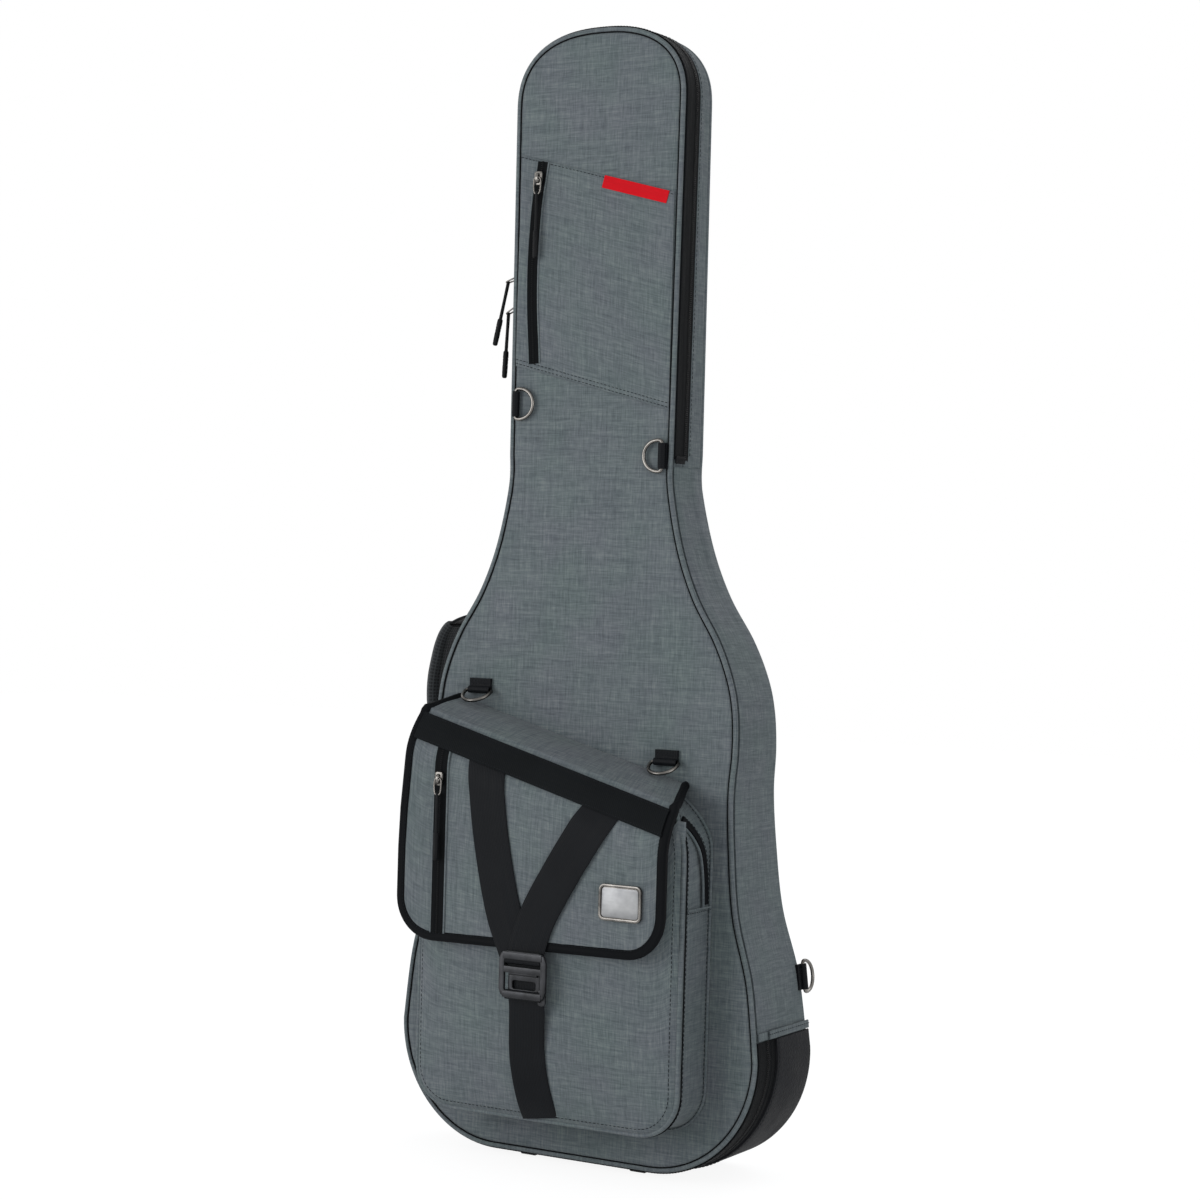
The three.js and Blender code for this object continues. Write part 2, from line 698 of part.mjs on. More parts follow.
function addFlap() {
  const half = FLAP_THICK / 2;
  const slope = Math.atan(FLAP_DROP / FLAP_REACH);
  const alongTop = [Math.cos(slope), Math.sin(slope)];
  const endGap = half + 2 * GAP;
  const topRing = (x) => {
    const rise = half / Math.cos(slope);
    const nearY = -FLAP_REACH + endGap * alongTop[0];
    const nearZ = foldZ(x) + endGap * alongTop[1];
    const backZ = seamZ(x) + (FLAP_DROP / FLAP_REACH) * -GAP;
    return [
      vector(x, -GAP, backZ + rise),
      vector(x, nearY - half * alongTop[1], nearZ + half * alongTop[0]),
      vector(x, nearY + half * alongTop[1], nearZ - half * alongTop[0]),
      vector(x, -GAP, backZ - rise),
    ];
  };
  const flat = (p) => [p.y, p.z];
  add("flap_top", loft([-FLAP_HALF, FLAP_HALF].map(topRing), flat), "canvas");

  const frontRing = (x) => {
    const lean = Math.atan(flapLean(0));
    const start = Array.from({ length: 5 }, (_, k) => {
      const turn = Math.PI * (k / 4) - lean;
      return vector(x, -FLAP_REACH + half * Math.cos(turn), foldZ(x) + half * Math.sin(turn));
    });
    const low = foldZ(x) - flapLow(x);
    const drops = [...flapDrops, low];
    const outer = drops.map((drop) => besideFlap(x, drop, half));
    const inner = drops.map((drop) => besideFlap(x, drop, -half)).reverse();
    return [...start, ...outer, ...inner];
  };
  const flap = new THREE.Group();
  bag.add(flap);
  add("flap_panel", loft(flapStations(FLAP_HALF).map(frontRing), flat), "canvas", flap);

  const bandDrops = [0, 0.25, 0.5, 0.75, 1].map((share) => BAND_START + BAND_WIDTH * share);
  const bandRing = (x) => [
    ...bandDrops.map((drop) => besideFlap(x, drop, half + GAP + BAND)),
    ...bandDrops.map((drop) => besideFlap(x, drop, half + GAP)).reverse(),
  ];
  add("flap_band", loft([-FLAP_HALF, FLAP_HALF].map(bandRing), flat), "webbing", flap);

  const off = BINDING_R + 2 * GAP;
  const bindHalf = FLAP_HALF + off;
  const bindCorner = FLAP_CORNER + off;
  const sideDrops = [...flapDrops, 2 * FLAP_SWELL_DROP];
  const side = sideDrops.map((drop) => [bindHalf, foldZ(bindHalf) - drop]);
  const sideLeft = sideDrops.map((drop) => [-bindHalf, foldZ(-bindHalf) - drop]);
  const arc = Array.from({ length: 6 }, (_, k) => {
    const turn = ((Math.PI / 2) * k) / 5;
    const x = bindHalf - bindCorner + bindCorner * Math.cos(turn);
    return [x, FLAP_LOW - off + bindCorner - bindCorner * Math.sin(turn)];
  });
  const route = [...sideLeft, ...mirrored(arc), ...arc.slice().reverse(), ...side.reverse()];
  const cord = route.map(([x, z]) => vector(x, flapMiddle(foldZ(x) - z), z));
  add("flap_binding", sweep(cord, circle(BINDING_R, 6), vector(0, -1, 0)), "webbing", flap);
  return flap;
}

// ---- the flap's webbing, buckle, zip and badge

const flapZipHigh = foldZ(FLAP_ZIP_X) - FLAP_SWELL_DROP - 1;
const webbingBack = flapFront - GAP - 0.9; // clears the binding that the tail crosses
const tailFront = webbingBack - 2 * STRAP;
const buckleBack = tailFront - GAP;

function addFlapWebbing(flap) {
  const tailLow = BUCKLE_Z + 15;
  const armTop = (x) => foldZ(x) - BAND_START - BAND_WIDTH - 2;
  const arm = (points, lift) =>
    sweep(
      smoothPath(points.map(([x, z]) => [x, webbingBack - STRAP / 2 - lift, z]), 8),
      slab(STRAP_WIDTH, STRAP),
      vector(0, -1, 0),
    );
  const tail = [BUCKLE_X, tailLow];
  const left = arm([[-54, armTop(-54) - 4], [-46, 314], [-25, ARMS_MEET_Z + 16], tail], 0);
  const right = arm([[64, armTop(64) - 4], [32, 290], [6, ARMS_MEET_Z + 16], tail], STRAP - 0.3);
  add("v_strap", join(left, right), "webbing", flap);

  const zipLow = FLAP_LOW + 6;
  const zipSlab = slab(2 * FLAP_ZIP_HALF, flapZipHigh - zipLow);
  const zip = shifted(zipSlab, FLAP_ZIP_X, (flapZipHigh + zipLow) / 2);
  add("flap_zip", plate(zip, flapFront - GAP - TAPE, flapFront - GAP), "tape", flap);

  const frame = roundedRect(50, 43, 7, 2);
  const slot = shifted(roundedRect(39, 8, 1.5, 1), 0, 11);
  const window = shifted(roundedRect(39, 14, 1.5, 1), 0, -6);
  const place = (outline) => shifted(outline, BUCKLE_X, BUCKLE_Z);
  const buckle = plate(place(frame), buckleBack - BUCKLE, buckleBack, [place(slot), place(window)]);
  add("buckle", buckle, "gunmetal", flap);

  const badge = shifted(roundedRect(BADGE_WIDTH, BADGE_HEIGHT, 5), BADGE_X, BADGE_Z);
  add("plain_badge", plate(badge, flapFront - GAP - BADGE, flapFront - GAP), "silver", flap);
}

function addLowerStrap() {
  const hookFront = buckleBack + GAP;
  const strapOut = GAP + STRAP / 2;
  const hookZ = BUCKLE_Z - 7;
  const follow = (x, z) => [x, pocketFace(x, z) - strapOut - 0.4, z];
  const top = hookFront + HOOK + GAP + STRAP / 2;
  const route = smoothPath(
    [
      [BUCKLE_X, top, hookZ + 2],
      [BUCKLE_X, top, hookZ - 12],
      [BUCKLE_X, top + 2.4, hookZ - 22],
      follow(-7, 122),
      follow(-6, 105),
      follow(-4, 88),
      follow(-1, 70),
      follow(1, 57),
    ],
    14,
  );
  add("lower_strap", sweep(route, slab(STRAP_WIDTH, STRAP), vector(0, -1, 0)), "webbing");

  const body = shifted(roundedRect(34, 20, 3, 2), BUCKLE_X, hookZ);
  const ear = shifted(roundedRect(8, 14, 3, 2), BUCKLE_X + 19, hookZ - 12);
  const hook = join(plate(body, hookFront, hookFront + HOOK), plate(ear, hookFront, hookFront + HOOK));
  add("strap_hook", hook, "gunmetal");
}

// ---- D-rings in their webbing tabs

// In its own frame a ring's bar lies along X through the origin, its bow hangs towards -Z, and the
// surface it is sewn to lies behind it, square to Y.
const tabEye = RING_WIRE + 0.35;
const tabRound = tabEye + TAB_PLY;
const ringStandoff = GAP + tabRound;

function addRing(name, tail, rest, place) {
  const seat = new THREE.Group();
  place(seat);
  bag.add(seat);
  const bow = [];
  const bowSteps = 10;
  for (let k = 0; k <= bowSteps; k++) {
    const turn = (Math.PI * k) / bowSteps;
    bow.push(vector(RING_HALF * Math.cos(turn), 0, -3 - (RING_DROP - 3) * Math.sin(turn)));
  }
  bow.push(vector(-RING_HALF + 1.2, 0, 0), vector(-RING_HALF / 2, 0, 0));
  bow.push(vector(RING_HALF / 2, 0, 0), vector(RING_HALF - 1.2, 0, 0));
  const wire = sweep(bow, circle(RING_WIRE, 6), vector(0, -1, 0), true);
  wire.rotateX(-rest);
  add(name + "_ring", wire, "nickel", seat);

  const outline = new THREE.Shape();
  const back = ringStandoff - GAP;
  const ply = 2 * TAB_PLY;
  outline.moveTo(back, tail);
  outline.lineTo(back - ply, tail);
  const round = circle(tabRound, 12).filter(([a, b]) => a < back - ply + 0.6 || b < 0);
  round.sort((p, q) => angleFrom(p) - angleFrom(q));
  round.forEach(([a, b]) => outline.lineTo(a, b));
  outline.lineTo(back, 0);
  outline.closePath();
  const eye = new THREE.Path(circle(tabEye, 10).map(([a, b]) => new THREE.Vector2(a, b)));
  outline.holes = [eye];
  const tab = new THREE.ExtrudeGeometry(outline, { depth: TAB_WIDTH, bevelEnabled: false });
  tab.applyMatrix4(
    new THREE.Matrix4().makeBasis(vector(0, 1, 0), vector(0, 0, 1), vector(1, 0, 0)),
  );
  tab.translate(-TAB_WIDTH / 2, 0, 0);
  add(name + "_tab", tab, "webbing", seat);
}

// Turn of a point round the eye, counted from the upper left over the left to the lower right.
function angleFrom([a, b]) {
  const turn = Math.atan2(b, a);
  return turn < Math.PI / 4 - 1e-6 && turn > -Math.PI ? turn + 2 * Math.PI : turn;
}

function addRings() {
  const onNeck = (side, z) => (seat) => {
    seat.position.set(side * (sideAt(z).x - NECK_RING_INSET), -ringStandoff, z);
    seat.rotation.y = (side * Math.PI) / 2;
  };
  addRing("neck_left", 4, 0, onNeck(-1, NECK_RING_LEFT_Z));
  addRing("neck_right", 4, 0, onNeck(1, NECK_RING_RIGHT_Z));
  const onFlap = (x) => (seat) => seat.position.set(x, -ringStandoff, seamZ(x) + FLAP_RING_RISE);
  addRing("flap_left", 11, FLAP_RING_TILT, onFlap(FLAP_RING_LEFT_X));
  addRing("flap_right", 11, FLAP_RING_TILT, onFlap(FLAP_RING_RIGHT_X));
  const onSide = (side, z) => (seat) => {
    const { x, lean } = sideAt(z);
    const out = ringStandoff;
    seat.position.set(side * (x + out * Math.cos(lean)), bodyBack(z) + 1, z - out * Math.sin(lean));
    const bow = vector(0, 1, 0);
    const outward = vector(side * Math.cos(lean), 0, -Math.sin(lean));
    const bar = outward.clone().cross(bow);
    seat.quaternion.setFromRotationMatrix(
      new THREE.Matrix4().makeBasis(bar, outward.clone().negate(), bow.clone().negate()),
    );
  };
  addRing("side_left", 20, 0, onSide(-1, SIDE_RING_Z));
  addRing("side_right", 20, 0, onSide(1, SIDE_RING_Z));
}

// ---- zip sliders with their pulls

// In its own frame a slider lies on a surface square to Y, its zip runs along Z, and its pull hangs
// towards -Z from a bar along X.
const barHeight = GAP + SLIDER_BASE + PULL_BAR + 0.6;

function addSlider(name, rest, place, parent = bag) {
  const seat = new THREE.Group();
  place(seat);
  parent.add(seat);
  const base = plate(roundedRect(9, 13, 2.5, 2), -GAP - SLIDER_BASE, -GAP);
  const bridge = new THREE.Shape();
  bridge.moveTo(-GAP - SLIDER_BASE + 0.4, -4.2);
  bridge.lineTo(-GAP - SLIDER_BASE + 0.4, 4.2);
  bridge.lineTo(-barHeight - 0.6, 3.2);
  bridge.lineTo(-barHeight - 2.1, 1.6);
  bridge.lineTo(-barHeight - 2.1, -1.6);
  bridge.lineTo(-barHeight - 0.6, -3.2);
  const eye = circle(PULL_BAR + 0.35, 10).map(([a, b]) => new THREE.Vector2(a - barHeight, b));
  bridge.holes = [new THREE.Path(eye)];
  const arch = new THREE.ExtrudeGeometry(bridge, { depth: 2.6, bevelEnabled: false });
  arch.applyMatrix4(
    new THREE.Matrix4().makeBasis(vector(0, 1, 0), vector(0, 0, 1), vector(1, 0, 0)),
  );
  arch.translate(-1.3, 0, 0);
  add(name + "_slider", join(base, arch), "gunmetal", seat);

  const loopHalf = 3.2;
  const loop = [
    vector(-loopHalf, 0, 0),
    vector(loopHalf, 0, 0),
    vector(loopHalf + 0.6, 0, -7),
    vector(2.2, 0, -PULL_LOOP),
    vector(-2.2, 0, -PULL_LOOP),
    vector(-loopHalf - 0.6, 0, -7),
  ];
  const ring = sweep(loop, circle(PULL_BAR, 6), vector(0, -1, 0), true);
  const cordTop = PULL_LOOP - 2; // the cord runs into the loop and into the tip
  const cordLength = PULL_LENGTH - PULL_TIP_LENGTH - cordTop + 1;
  const cord = new THREE.CylinderGeometry(PULL_CORD, PULL_CORD, cordLength, 8);
  cord.rotateX(Math.PI / 2);
  cord.translate(0, 0, -cordTop - cordLength / 2);
  const tip = new THREE.CylinderGeometry(PULL_TIP, PULL_TIP * 0.8, PULL_TIP_LENGTH, 10);
  tip.rotateX(Math.PI / 2);
  tip.translate(0, 0, -PULL_LENGTH + PULL_TIP_LENGTH / 2);
  const pull = join(ring, cord, tip);
  pull.rotateX(-rest);
  pull.translate(0, -barHeight, 0);
  add(name + "_pull", pull, "plastic", seat);
}

const crossing = (route, z) => {
  const i = route.findIndex((point, k) => k > 0 && point[1] <= z);
  const [[x0, z0], [x1, z1]] = [route[i - 1], route[i]];
  return x0 + ((z - z0) / (z1 - z0)) * (x1 - x0);
};

function addSliders(flap) {
  const onSide = (z) => (seat) => {
    const { x, lean } = sideAt(z);
    seat.position.set(-x - GAP - TAPE, LID_DEPTH, z);
    seat.rotation.z = -Math.PI / 2;
    seat.rotateOnWorldAxis(vector(0, 1, 0), -lean);
  };
  addSlider("main_upper", UPPER_PULL_REST, onSide(MAIN_UPPER_Z));
  addSlider("main_lower", 0, onSide(MAIN_LOWER_Z));
  addSlider("neck_pocket", 0, (seat) => {
    const z = neckZip[0][1] - NECK_SLIDER_DROP;
    seat.position.set(crossing(neckZip, z), neckPocketFace - GAP - TAPE, z);
  });
  const onFlap = (seat) =>
    seat.position.set(FLAP_ZIP_X, flapFront - GAP - TAPE, flapZipHigh - FLAP_SLIDER_DROP);
  addSlider("flap", 0, onFlap, flap);
}

// ---- side handle

function addHandle() {
  const beside = (z, out) => {
    const { x, lean } = sideAt(z);
    return [-x - out * Math.cos(lean), HANDLE_Y, z - out * Math.sin(lean)];
  };
  const flat = 2 * GAP + STRAP;
  const middle = (HANDLE_HIGH + HANDLE_LOW) / 2;
  const farX = -sideAt(middle).x - HANDLE_STANDOFF;
  const route = smoothPath(
    [
      beside(HANDLE_HIGH + HANDLE_SEWN, flat),
      beside(HANDLE_HIGH + HANDLE_SEWN / 2, flat),
      beside(HANDLE_HIGH, flat + 0.4),
      [farX + 28, HANDLE_Y, HANDLE_HIGH - 26],
      [farX + 7, HANDLE_Y, HANDLE_HIGH - 62],
      [farX, HANDLE_Y, middle],
      [farX + 4, HANDLE_Y, HANDLE_LOW + 58],
      [farX + 20, HANDLE_Y, HANDLE_LOW + 24],
      beside(HANDLE_LOW, flat + 0.4),
      beside(HANDLE_LOW - HANDLE_SEWN / 2, flat),
      beside(HANDLE_LOW - HANDLE_SEWN, flat),
    ],
    32,
  );
  const out = vector(-1, 0, 0);
  const webbing = sweep(route, slab(HANDLE_WIDTH, 2 * STRAP), out);
  add("handle_webbing", webbing, "webbing");
  const padRoute = route.slice(9, 24);
  const padProfile = roundedRect(HANDLE_WIDTH + 8, HANDLE_PAD, 6, 3);
  const pad = sweep(padRoute, padProfile, out);
  const slot = sweep(route.slice(7, 26), slab(HANDLE_WIDTH + 2 * GAP, 2 * STRAP + 2 * GAP), out);
  add("handle_pad", cut(pad, slot), "mesh");
}

// ---- shoulder harness on the back

function addHarness() {
  const behind = (x, z, out) => [x, bodyBack(z) + out, z];
  const backNormal = vector(0, NECK_Z, BASE_DEPTH - NECK_DEPTH).normalize();
  const yoke = [
    [-62, HARNESS_TOP - 40],
    [62, HARNESS_TOP - 40],
    [44, HARNESS_TOP + 20],
    [-44, HARNESS_TOP + 20],
  ];
  const yokeFront = (z) => bodyBack(z) + GAP;
  const yokeBack = (z) => bodyBack(z) + GAP + YOKE;
  add("shoulder_yoke", plate(yoke, yokeFront, yokeBack), "webbing");

  const seat = GAP + YOKE + GAP + PAD_THICK / 2;
  for (const [side, name] of [
    [-1, "left"],
    [1, "right"],
  ]) {
    const pad = smoothPath(
      [
        behind(side * 33, HARNESS_TOP - 4, seat + 0.6),
        behind(side * 37, HARNESS_TOP - 34, seat + 1.2),
        behind(side * 54, HARNESS_TOP - 90, 26),
        behind(side * 76, HARNESS_TOP - 160, 34),
        behind(side * 88, HARNESS_TOP - 230, 31),
        behind(side * 84, HARNESS_TOP - 300, 18),
      ],
      16,
    );
    const padSection = roundedRect(PAD_WIDTH, PAD_THICK, 5, 2);
    add("shoulder_strap_" + name, sweep(pad, padSection, backNormal), "mesh");

    const padEnd = pad.at(-1);
    const lockZ = padEnd.z - 16;
    const lock = cut(
      plate(
        shifted(roundedRect(34, 24, 3, 1), padEnd.x, lockZ),
        (z) => bodyBack(z) + LOCK_OUT,
        (z) => bodyBack(z) + LOCK_OUT + LOCK,
      ),
      plate(
        shifted(roundedRect(WEB_WIDTH + 1, 5, 0.8, 1), padEnd.x, lockZ - 4),
        (z) => bodyBack(z) + LOCK_OUT - 3,
        (z) => bodyBack(z) + LOCK_OUT + LOCK + 3,
      ),
    );
    add("strap_adjuster_" + name, lock, "plastic");

    const webbing = smoothPath(
      [
        behind(padEnd.x, lockZ - 2, LOCK_OUT - GAP - STRAP / 2),
        behind(side * 88, lockZ - 22, LOCK_OUT - 3),
        behind(side * 98, 195, 5),
        behind(side * 110, 155, GAP + 1.6),
        behind(side * 118, 128, GAP + STRAP / 2 + 0.2),
        behind(side * 124, 108, GAP + STRAP / 2 + 0.2),
      ],
      12,
    );
    add("strap_webbing_" + name, sweep(webbing, slab(WEB_WIDTH, STRAP), backNormal), "webbing");
  }
}

// ---------------------------------------------------------------- build

addShell();
add("zip_tape_shell", zipBand(shellFront, shellFront + TAPE_REACH), "tape");
addBoot();
addInterior();
addLid();
add("zip_tape_lid", zipBand(pipingReach + GAP, lidRear), "tape");
addNeckPocket();
addPocket();
const flapGroup = addFlap();
addFlapWebbing(flapGroup);
addLowerStrap();
addRings();
addSliders(flapGroup);
addHandle();
addHarness();

const box = new THREE.Box3().setFromObject(bag);
const middle = box.getCenter(vector(0, 0, 0));
bag.position.set(-middle.x, -middle.y, -box.min.z);

export default bag;
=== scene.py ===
"""Padded gig bag: the cloth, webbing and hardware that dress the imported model."""

import logging
import math
from dataclasses import dataclass
from enum import Enum
from typing import Callable, Optional, Sequence, Union

import bpy
import numpy as np
from mathutils import Matrix, Vector

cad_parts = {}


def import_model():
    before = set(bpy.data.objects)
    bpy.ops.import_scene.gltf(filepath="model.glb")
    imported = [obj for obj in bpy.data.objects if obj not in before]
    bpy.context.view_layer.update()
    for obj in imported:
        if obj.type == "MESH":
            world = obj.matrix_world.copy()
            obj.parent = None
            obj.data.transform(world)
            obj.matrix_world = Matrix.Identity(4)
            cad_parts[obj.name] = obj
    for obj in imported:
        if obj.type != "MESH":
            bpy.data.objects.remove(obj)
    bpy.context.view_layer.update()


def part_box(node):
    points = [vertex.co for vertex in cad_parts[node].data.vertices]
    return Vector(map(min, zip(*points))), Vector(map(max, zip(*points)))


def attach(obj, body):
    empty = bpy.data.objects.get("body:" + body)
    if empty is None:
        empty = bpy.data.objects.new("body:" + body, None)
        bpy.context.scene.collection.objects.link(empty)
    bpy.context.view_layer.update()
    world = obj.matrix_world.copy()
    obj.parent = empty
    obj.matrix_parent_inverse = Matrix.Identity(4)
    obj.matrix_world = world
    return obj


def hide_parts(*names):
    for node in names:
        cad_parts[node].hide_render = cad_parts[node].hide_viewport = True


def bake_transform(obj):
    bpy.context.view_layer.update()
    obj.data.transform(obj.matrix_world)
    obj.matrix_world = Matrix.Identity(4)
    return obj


log = logging.getLogger("gig_bag")
Array = np.ndarray
Triple = tuple[float, float, float]
MM = 0.001
FRONT = np.array([0.0, -1.0, 0.0])
BACK = np.array([0.0, 1.0, 0.0])
RIGHT = np.array([1.0, 0.0, 0.0])
WHITE = (1.0, 1.0, 1.0, 1.0)


class Slot(Enum):
    """Material slots of the record."""

    CANVAS = "canvas"
    SHADE_CANVAS = "shade_canvas"
    WEBBING = "webbing"
    RIBBED_BAND = "ribbed_band"
    ZIP_TAPE = "zip_tape"
    RUBBER = "rubber"
    PLUSH = "plush"
    AIR_MESH = "air_mesh"
    NICKEL = "nickel"
    GUNMETAL = "gunmetal"
    BADGE_PLATE = "badge_plate"
    PLASTIC = "plastic"
    LABEL_RED = "label_red"


# --------------- shader graph


class Wire:
    """A shader socket, or a plain number, that can be used in arithmetic."""

    def __init__(self, graph: "Graph", source: object) -> None:
        """Args: graph: where new nodes go. source: an output socket or a number."""
        self.graph = graph
        self.source = source

    def _math(self, operation: str, *others: object) -> "Wire":
        """Returns: the result of a Math node on this value and the others."""
        return self.graph.node("ShaderNodeMath", {"operation": operation}, dict(enumerate((self, *others))))[0]

    def __add__(self, other: object) -> "Wire":
        """Sum."""
        return self._math("ADD", other)

    def __sub__(self, other: object) -> "Wire":
        """Difference."""
        return self._math("SUBTRACT", other)

    def __rsub__(self, other: float) -> "Wire":
        """Difference from a number."""
        return Wire(self.graph, other) - self

    def __mul__(self, other: object) -> "Wire":
        """Product."""
        return self._math("MULTIPLY", other)

    def ridges(self) -> "Wire":
        """Sine of this value in radians, without its sign."""
        return self._math("SINE")._math("ABSOLUTE")

    def most(self, other: object) -> "Wire":
        """The larger of the two."""
        return self._math("MAXIMUM", other)

    def spread(self, low: float, high: float, to_low: float = 0.0, to_high: float = 1.0) -> "Wire":
        """Maps low..high to to_low..to_high, held at both ends."""
        values = {"Value": self, "From Min": low, "From Max": high, "To Min": to_low, "To Max": to_high}
        return self.graph.node("ShaderNodeMapRange", {"clamp": True}, values)[0]


class Graph:
    """Node tree of one material, of the room or of one Geometry Nodes group."""

    def __init__(self, owner: object) -> None:
        """Args: owner: a material or world, whose tree is emptied, or an empty node group."""
        if isinstance(owner, (bpy.types.Material, bpy.types.World)):
            owner.use_nodes = True
            owner = owner.node_tree
            owner.nodes.clear()
        self.tree = owner

    def node(self, kind: str, settings: Optional[dict] = None, values: Optional[dict] = None) -> list[Wire]:
        """Makes a node.

        Args:
            kind: Blender's node type.
            settings: properties that are set first; "stops" fills a colour ramp.
            values: numbers, colours or wires by socket name or number.

        Returns:
            Its output sockets as wires.
        """
        made = self.tree.nodes.new(kind)
        for name, value in (settings or {}).items():
            if name == "stops":
                ramp = made.color_ramp
                while len(ramp.elements) < len(value):
                    ramp.elements.new(0.5)
                for element, (place, tone) in zip(ramp.elements, value):
                    element.position = place
                    element.color = tone
            else:
                setattr(made, name, value)
        for name, value in (values or {}).items():
            socket = made.inputs[name]
            source = value.source if isinstance(value, Wire) else value
            if isinstance(source, bpy.types.NodeSocket):
                self.tree.links.new(source, socket)
            else:
                socket.default_value = source
        return [Wire(self, output) for output in made.outputs]

    def cloth(self) -> tuple[Wire, Wire]:
        """Returns: the piece's own cloth coordinates across and along, in metres."""
        place = self.node("ShaderNodeUVMap", {"uv_map": "cloth"})[0]
        across, along, _ = self.node("ShaderNodeSeparateXYZ", None, {0: place})
        return across, along

    def space(self) -> Wire:
        """Returns: the object's own coordinates."""
        return self.node("ShaderNodeTexCoord")[3]

    def vector(self, x: object, y: object, z: object = 0.0) -> Wire:
        """Returns: a vector of three values."""
        return self.node("ShaderNodeCombineXYZ", None, {0: x, 1: y, 2: z})[0]

    def noise(self, place: Wire, scale: float = 1.0, detail: float = 2.0, rough: float = 0.5) -> Wire:
        """Returns: smooth noise from 0 to 1 about a mean of a half."""
        values = {"Vector": place, "Scale": scale, "Detail": detail, "Roughness": rough}
        return self.node("ShaderNodeTexNoise", None, values)[0]

    def blend(self, share: object, low: object, high: object, mode: str = "MIX") -> Wire:
        """Returns: one colour turning into another by a share."""
        settings = {"data_type": "RGBA", "blend_type": mode}
        return self.node("ShaderNodeMix", settings, {0: share, 6: low, 7: high})[2]

    def bump(self, height: Wire, strength: float, distance: float) -> Wire:
        """Returns: a normal bent by a height."""
        return self.node("ShaderNodeBump", None, {"Strength": strength, "Distance": distance, "Height": height})[0]

    def mixed(self, share: Wire, first: Wire, second: Wire, output: str) -> None:
        """Joins two shaders, mixed by a share, to an output node of a kind."""
        both = self.node("ShaderNodeMixShader", None, {0: share, 1: first, 2: second})[0]
        self.node(output, None, {"Surface": both})


Paint = tuple[Wire, Wire, Wire, dict]


def colour(red: float, green: float, blue: float) -> tuple[float, float, float, float]:
    """Returns: a linear colour from display values of 0 to 255."""
    return (*(((v / 255 + 0.055) / 1.055) ** 2.4 if v > 10 else v / 3294.6 for v in (red, green, blue)), 1.0)


@dataclass(frozen=True)
class Finish:
    """A surface that runs from a dark to a light tone."""

    name: str
    dark: Triple
    light: Triple

    def paint(self, graph: Graph) -> Paint:
        """Returns: colour, roughness, normal, and the shader's fixed numbers."""
        raise NotImplementedError

    def toned(self, graph: Graph, share: Wire) -> Wire:
        """Returns: the colour between dark and light by a share."""
        return graph.blend(share, colour(*self.dark), colour(*self.light))

    def build(self) -> bpy.types.Material:
        """Returns: the material."""
        material = bpy.data.materials.new(self.name)
        graph = Graph(material)
        base, rough, normal, fixed = self.paint(graph)
        values = {**fixed, "Base Color": base, "Roughness": rough, "Normal": normal}
        shader = graph.node("ShaderNodeBsdfPrincipled", None, values)[0]
        graph.node("ShaderNodeOutputMaterial", None, {"Surface": shader})
        return material


@dataclass(frozen=True)
class Heather(Finish):
    """Grey melange canvas: two yarns of uneven tone crossing at a right angle."""

    middle: Triple
    yarn: float = 0.0006
    slub: float = 0.013
    contrast: float = 0.62

    def paint(self, graph: Graph) -> Paint:
        """Returns: colour, roughness, normal, and the shader's fixed numbers."""
        across, along = graph.cloth()
        fine, slow = 1 / self.yarn, 1 / self.slub
        warp = graph.noise(graph.vector(across * fine * 0.55, along * slow), 1.0, 3.0, 0.6)
        weft = graph.noise(graph.vector(across * slow, along * fine * 0.55, 7.3), 1.0, 3.0, 0.6)
        coarse_warp = graph.noise(graph.vector(across * 420, along * 17, 3.1))
        coarse_weft = graph.noise(graph.vector(across * 17, along * 420, 9.7))
        tone = (warp + weft) * 0.65 + (coarse_warp + coarse_weft) * 0.35 - 0.5
        tone = tone.spread(0.5 - 0.17 / self.contrast, 0.5 + 0.17 / self.contrast)
        stops = [(i / 2, colour(*shade)) for i, shade in enumerate((self.dark, self.middle, self.light))]
        base = graph.node("ShaderNodeValToRGB", {"stops": stops}, {0: tone})[0]
        drift = graph.noise(graph.vector(across, along), 16.0).spread(0.32, 0.68)
        tint = graph.blend(drift, (0.95, 1.0, 0.98, 1.0), (1.02, 0.98, 1.03, 1.0))
        base = graph.blend(1.0, base, tint, "MULTIPLY")
        turn = math.pi * fine
        threads = (across * turn).ridges() * 0.5 + (along * turn).ridges() * 0.5
        normal = graph.bump(threads * 0.5 + warp * 0.5 + weft * 0.5, 0.35, 0.0004)
        fixed = {"Sheen Weight": 0.08, "Sheen Roughness": 0.5, "Specular IOR Level": 0.15}
        return base, tone.spread(0.0, 1.0, 0.95, 0.82), normal, fixed


class Weave(Enum):
    """How the yarns of a narrow woven tape run."""

    SATIN = "satin"
    RIBBED = "ribbed"
    TAPE = "tape"


@dataclass(frozen=True)
class Narrow(Finish):
    """Narrow fabric: strap webbing, grosgrain, label or zip tape."""

    weave: Weave
    pitch: float
    rough: float

    def paint(self, graph: Graph) -> Paint:
        """Returns: colour, roughness, normal, and the shader's fixed numbers."""
        across, along = graph.cloth()
        turn = math.pi / self.pitch
        if self.weave is Weave.SATIN:
            height = (across * turn).ridges() * 0.75 + (along * (turn * 2.3)).ridges() * 0.25
        elif self.weave is Weave.RIBBED:
            height = (along * turn).ridges() * 0.85 + (across * (turn * 2.0)).ridges() * 0.15
        else:
            height = ((across + along) * turn).ridges() * 0.6 + ((across - along) * turn).ridges() * 0.4
        streak = graph.noise(graph.vector(across * 380, along * 9))
        wear = graph.noise(graph.space(), 26.0, 3.0)
        tone = height * 0.45 + streak * 0.4 + wear * 0.35 - 0.1
        rough = streak.spread(0.3, 0.7, self.rough - 0.1, self.rough + 0.12)
        normal = graph.bump(height, 0.5, 0.00035)
        return self.toned(graph, tone.spread(0.1, 0.95)), rough, normal, {"Specular IOR Level": 0.07}


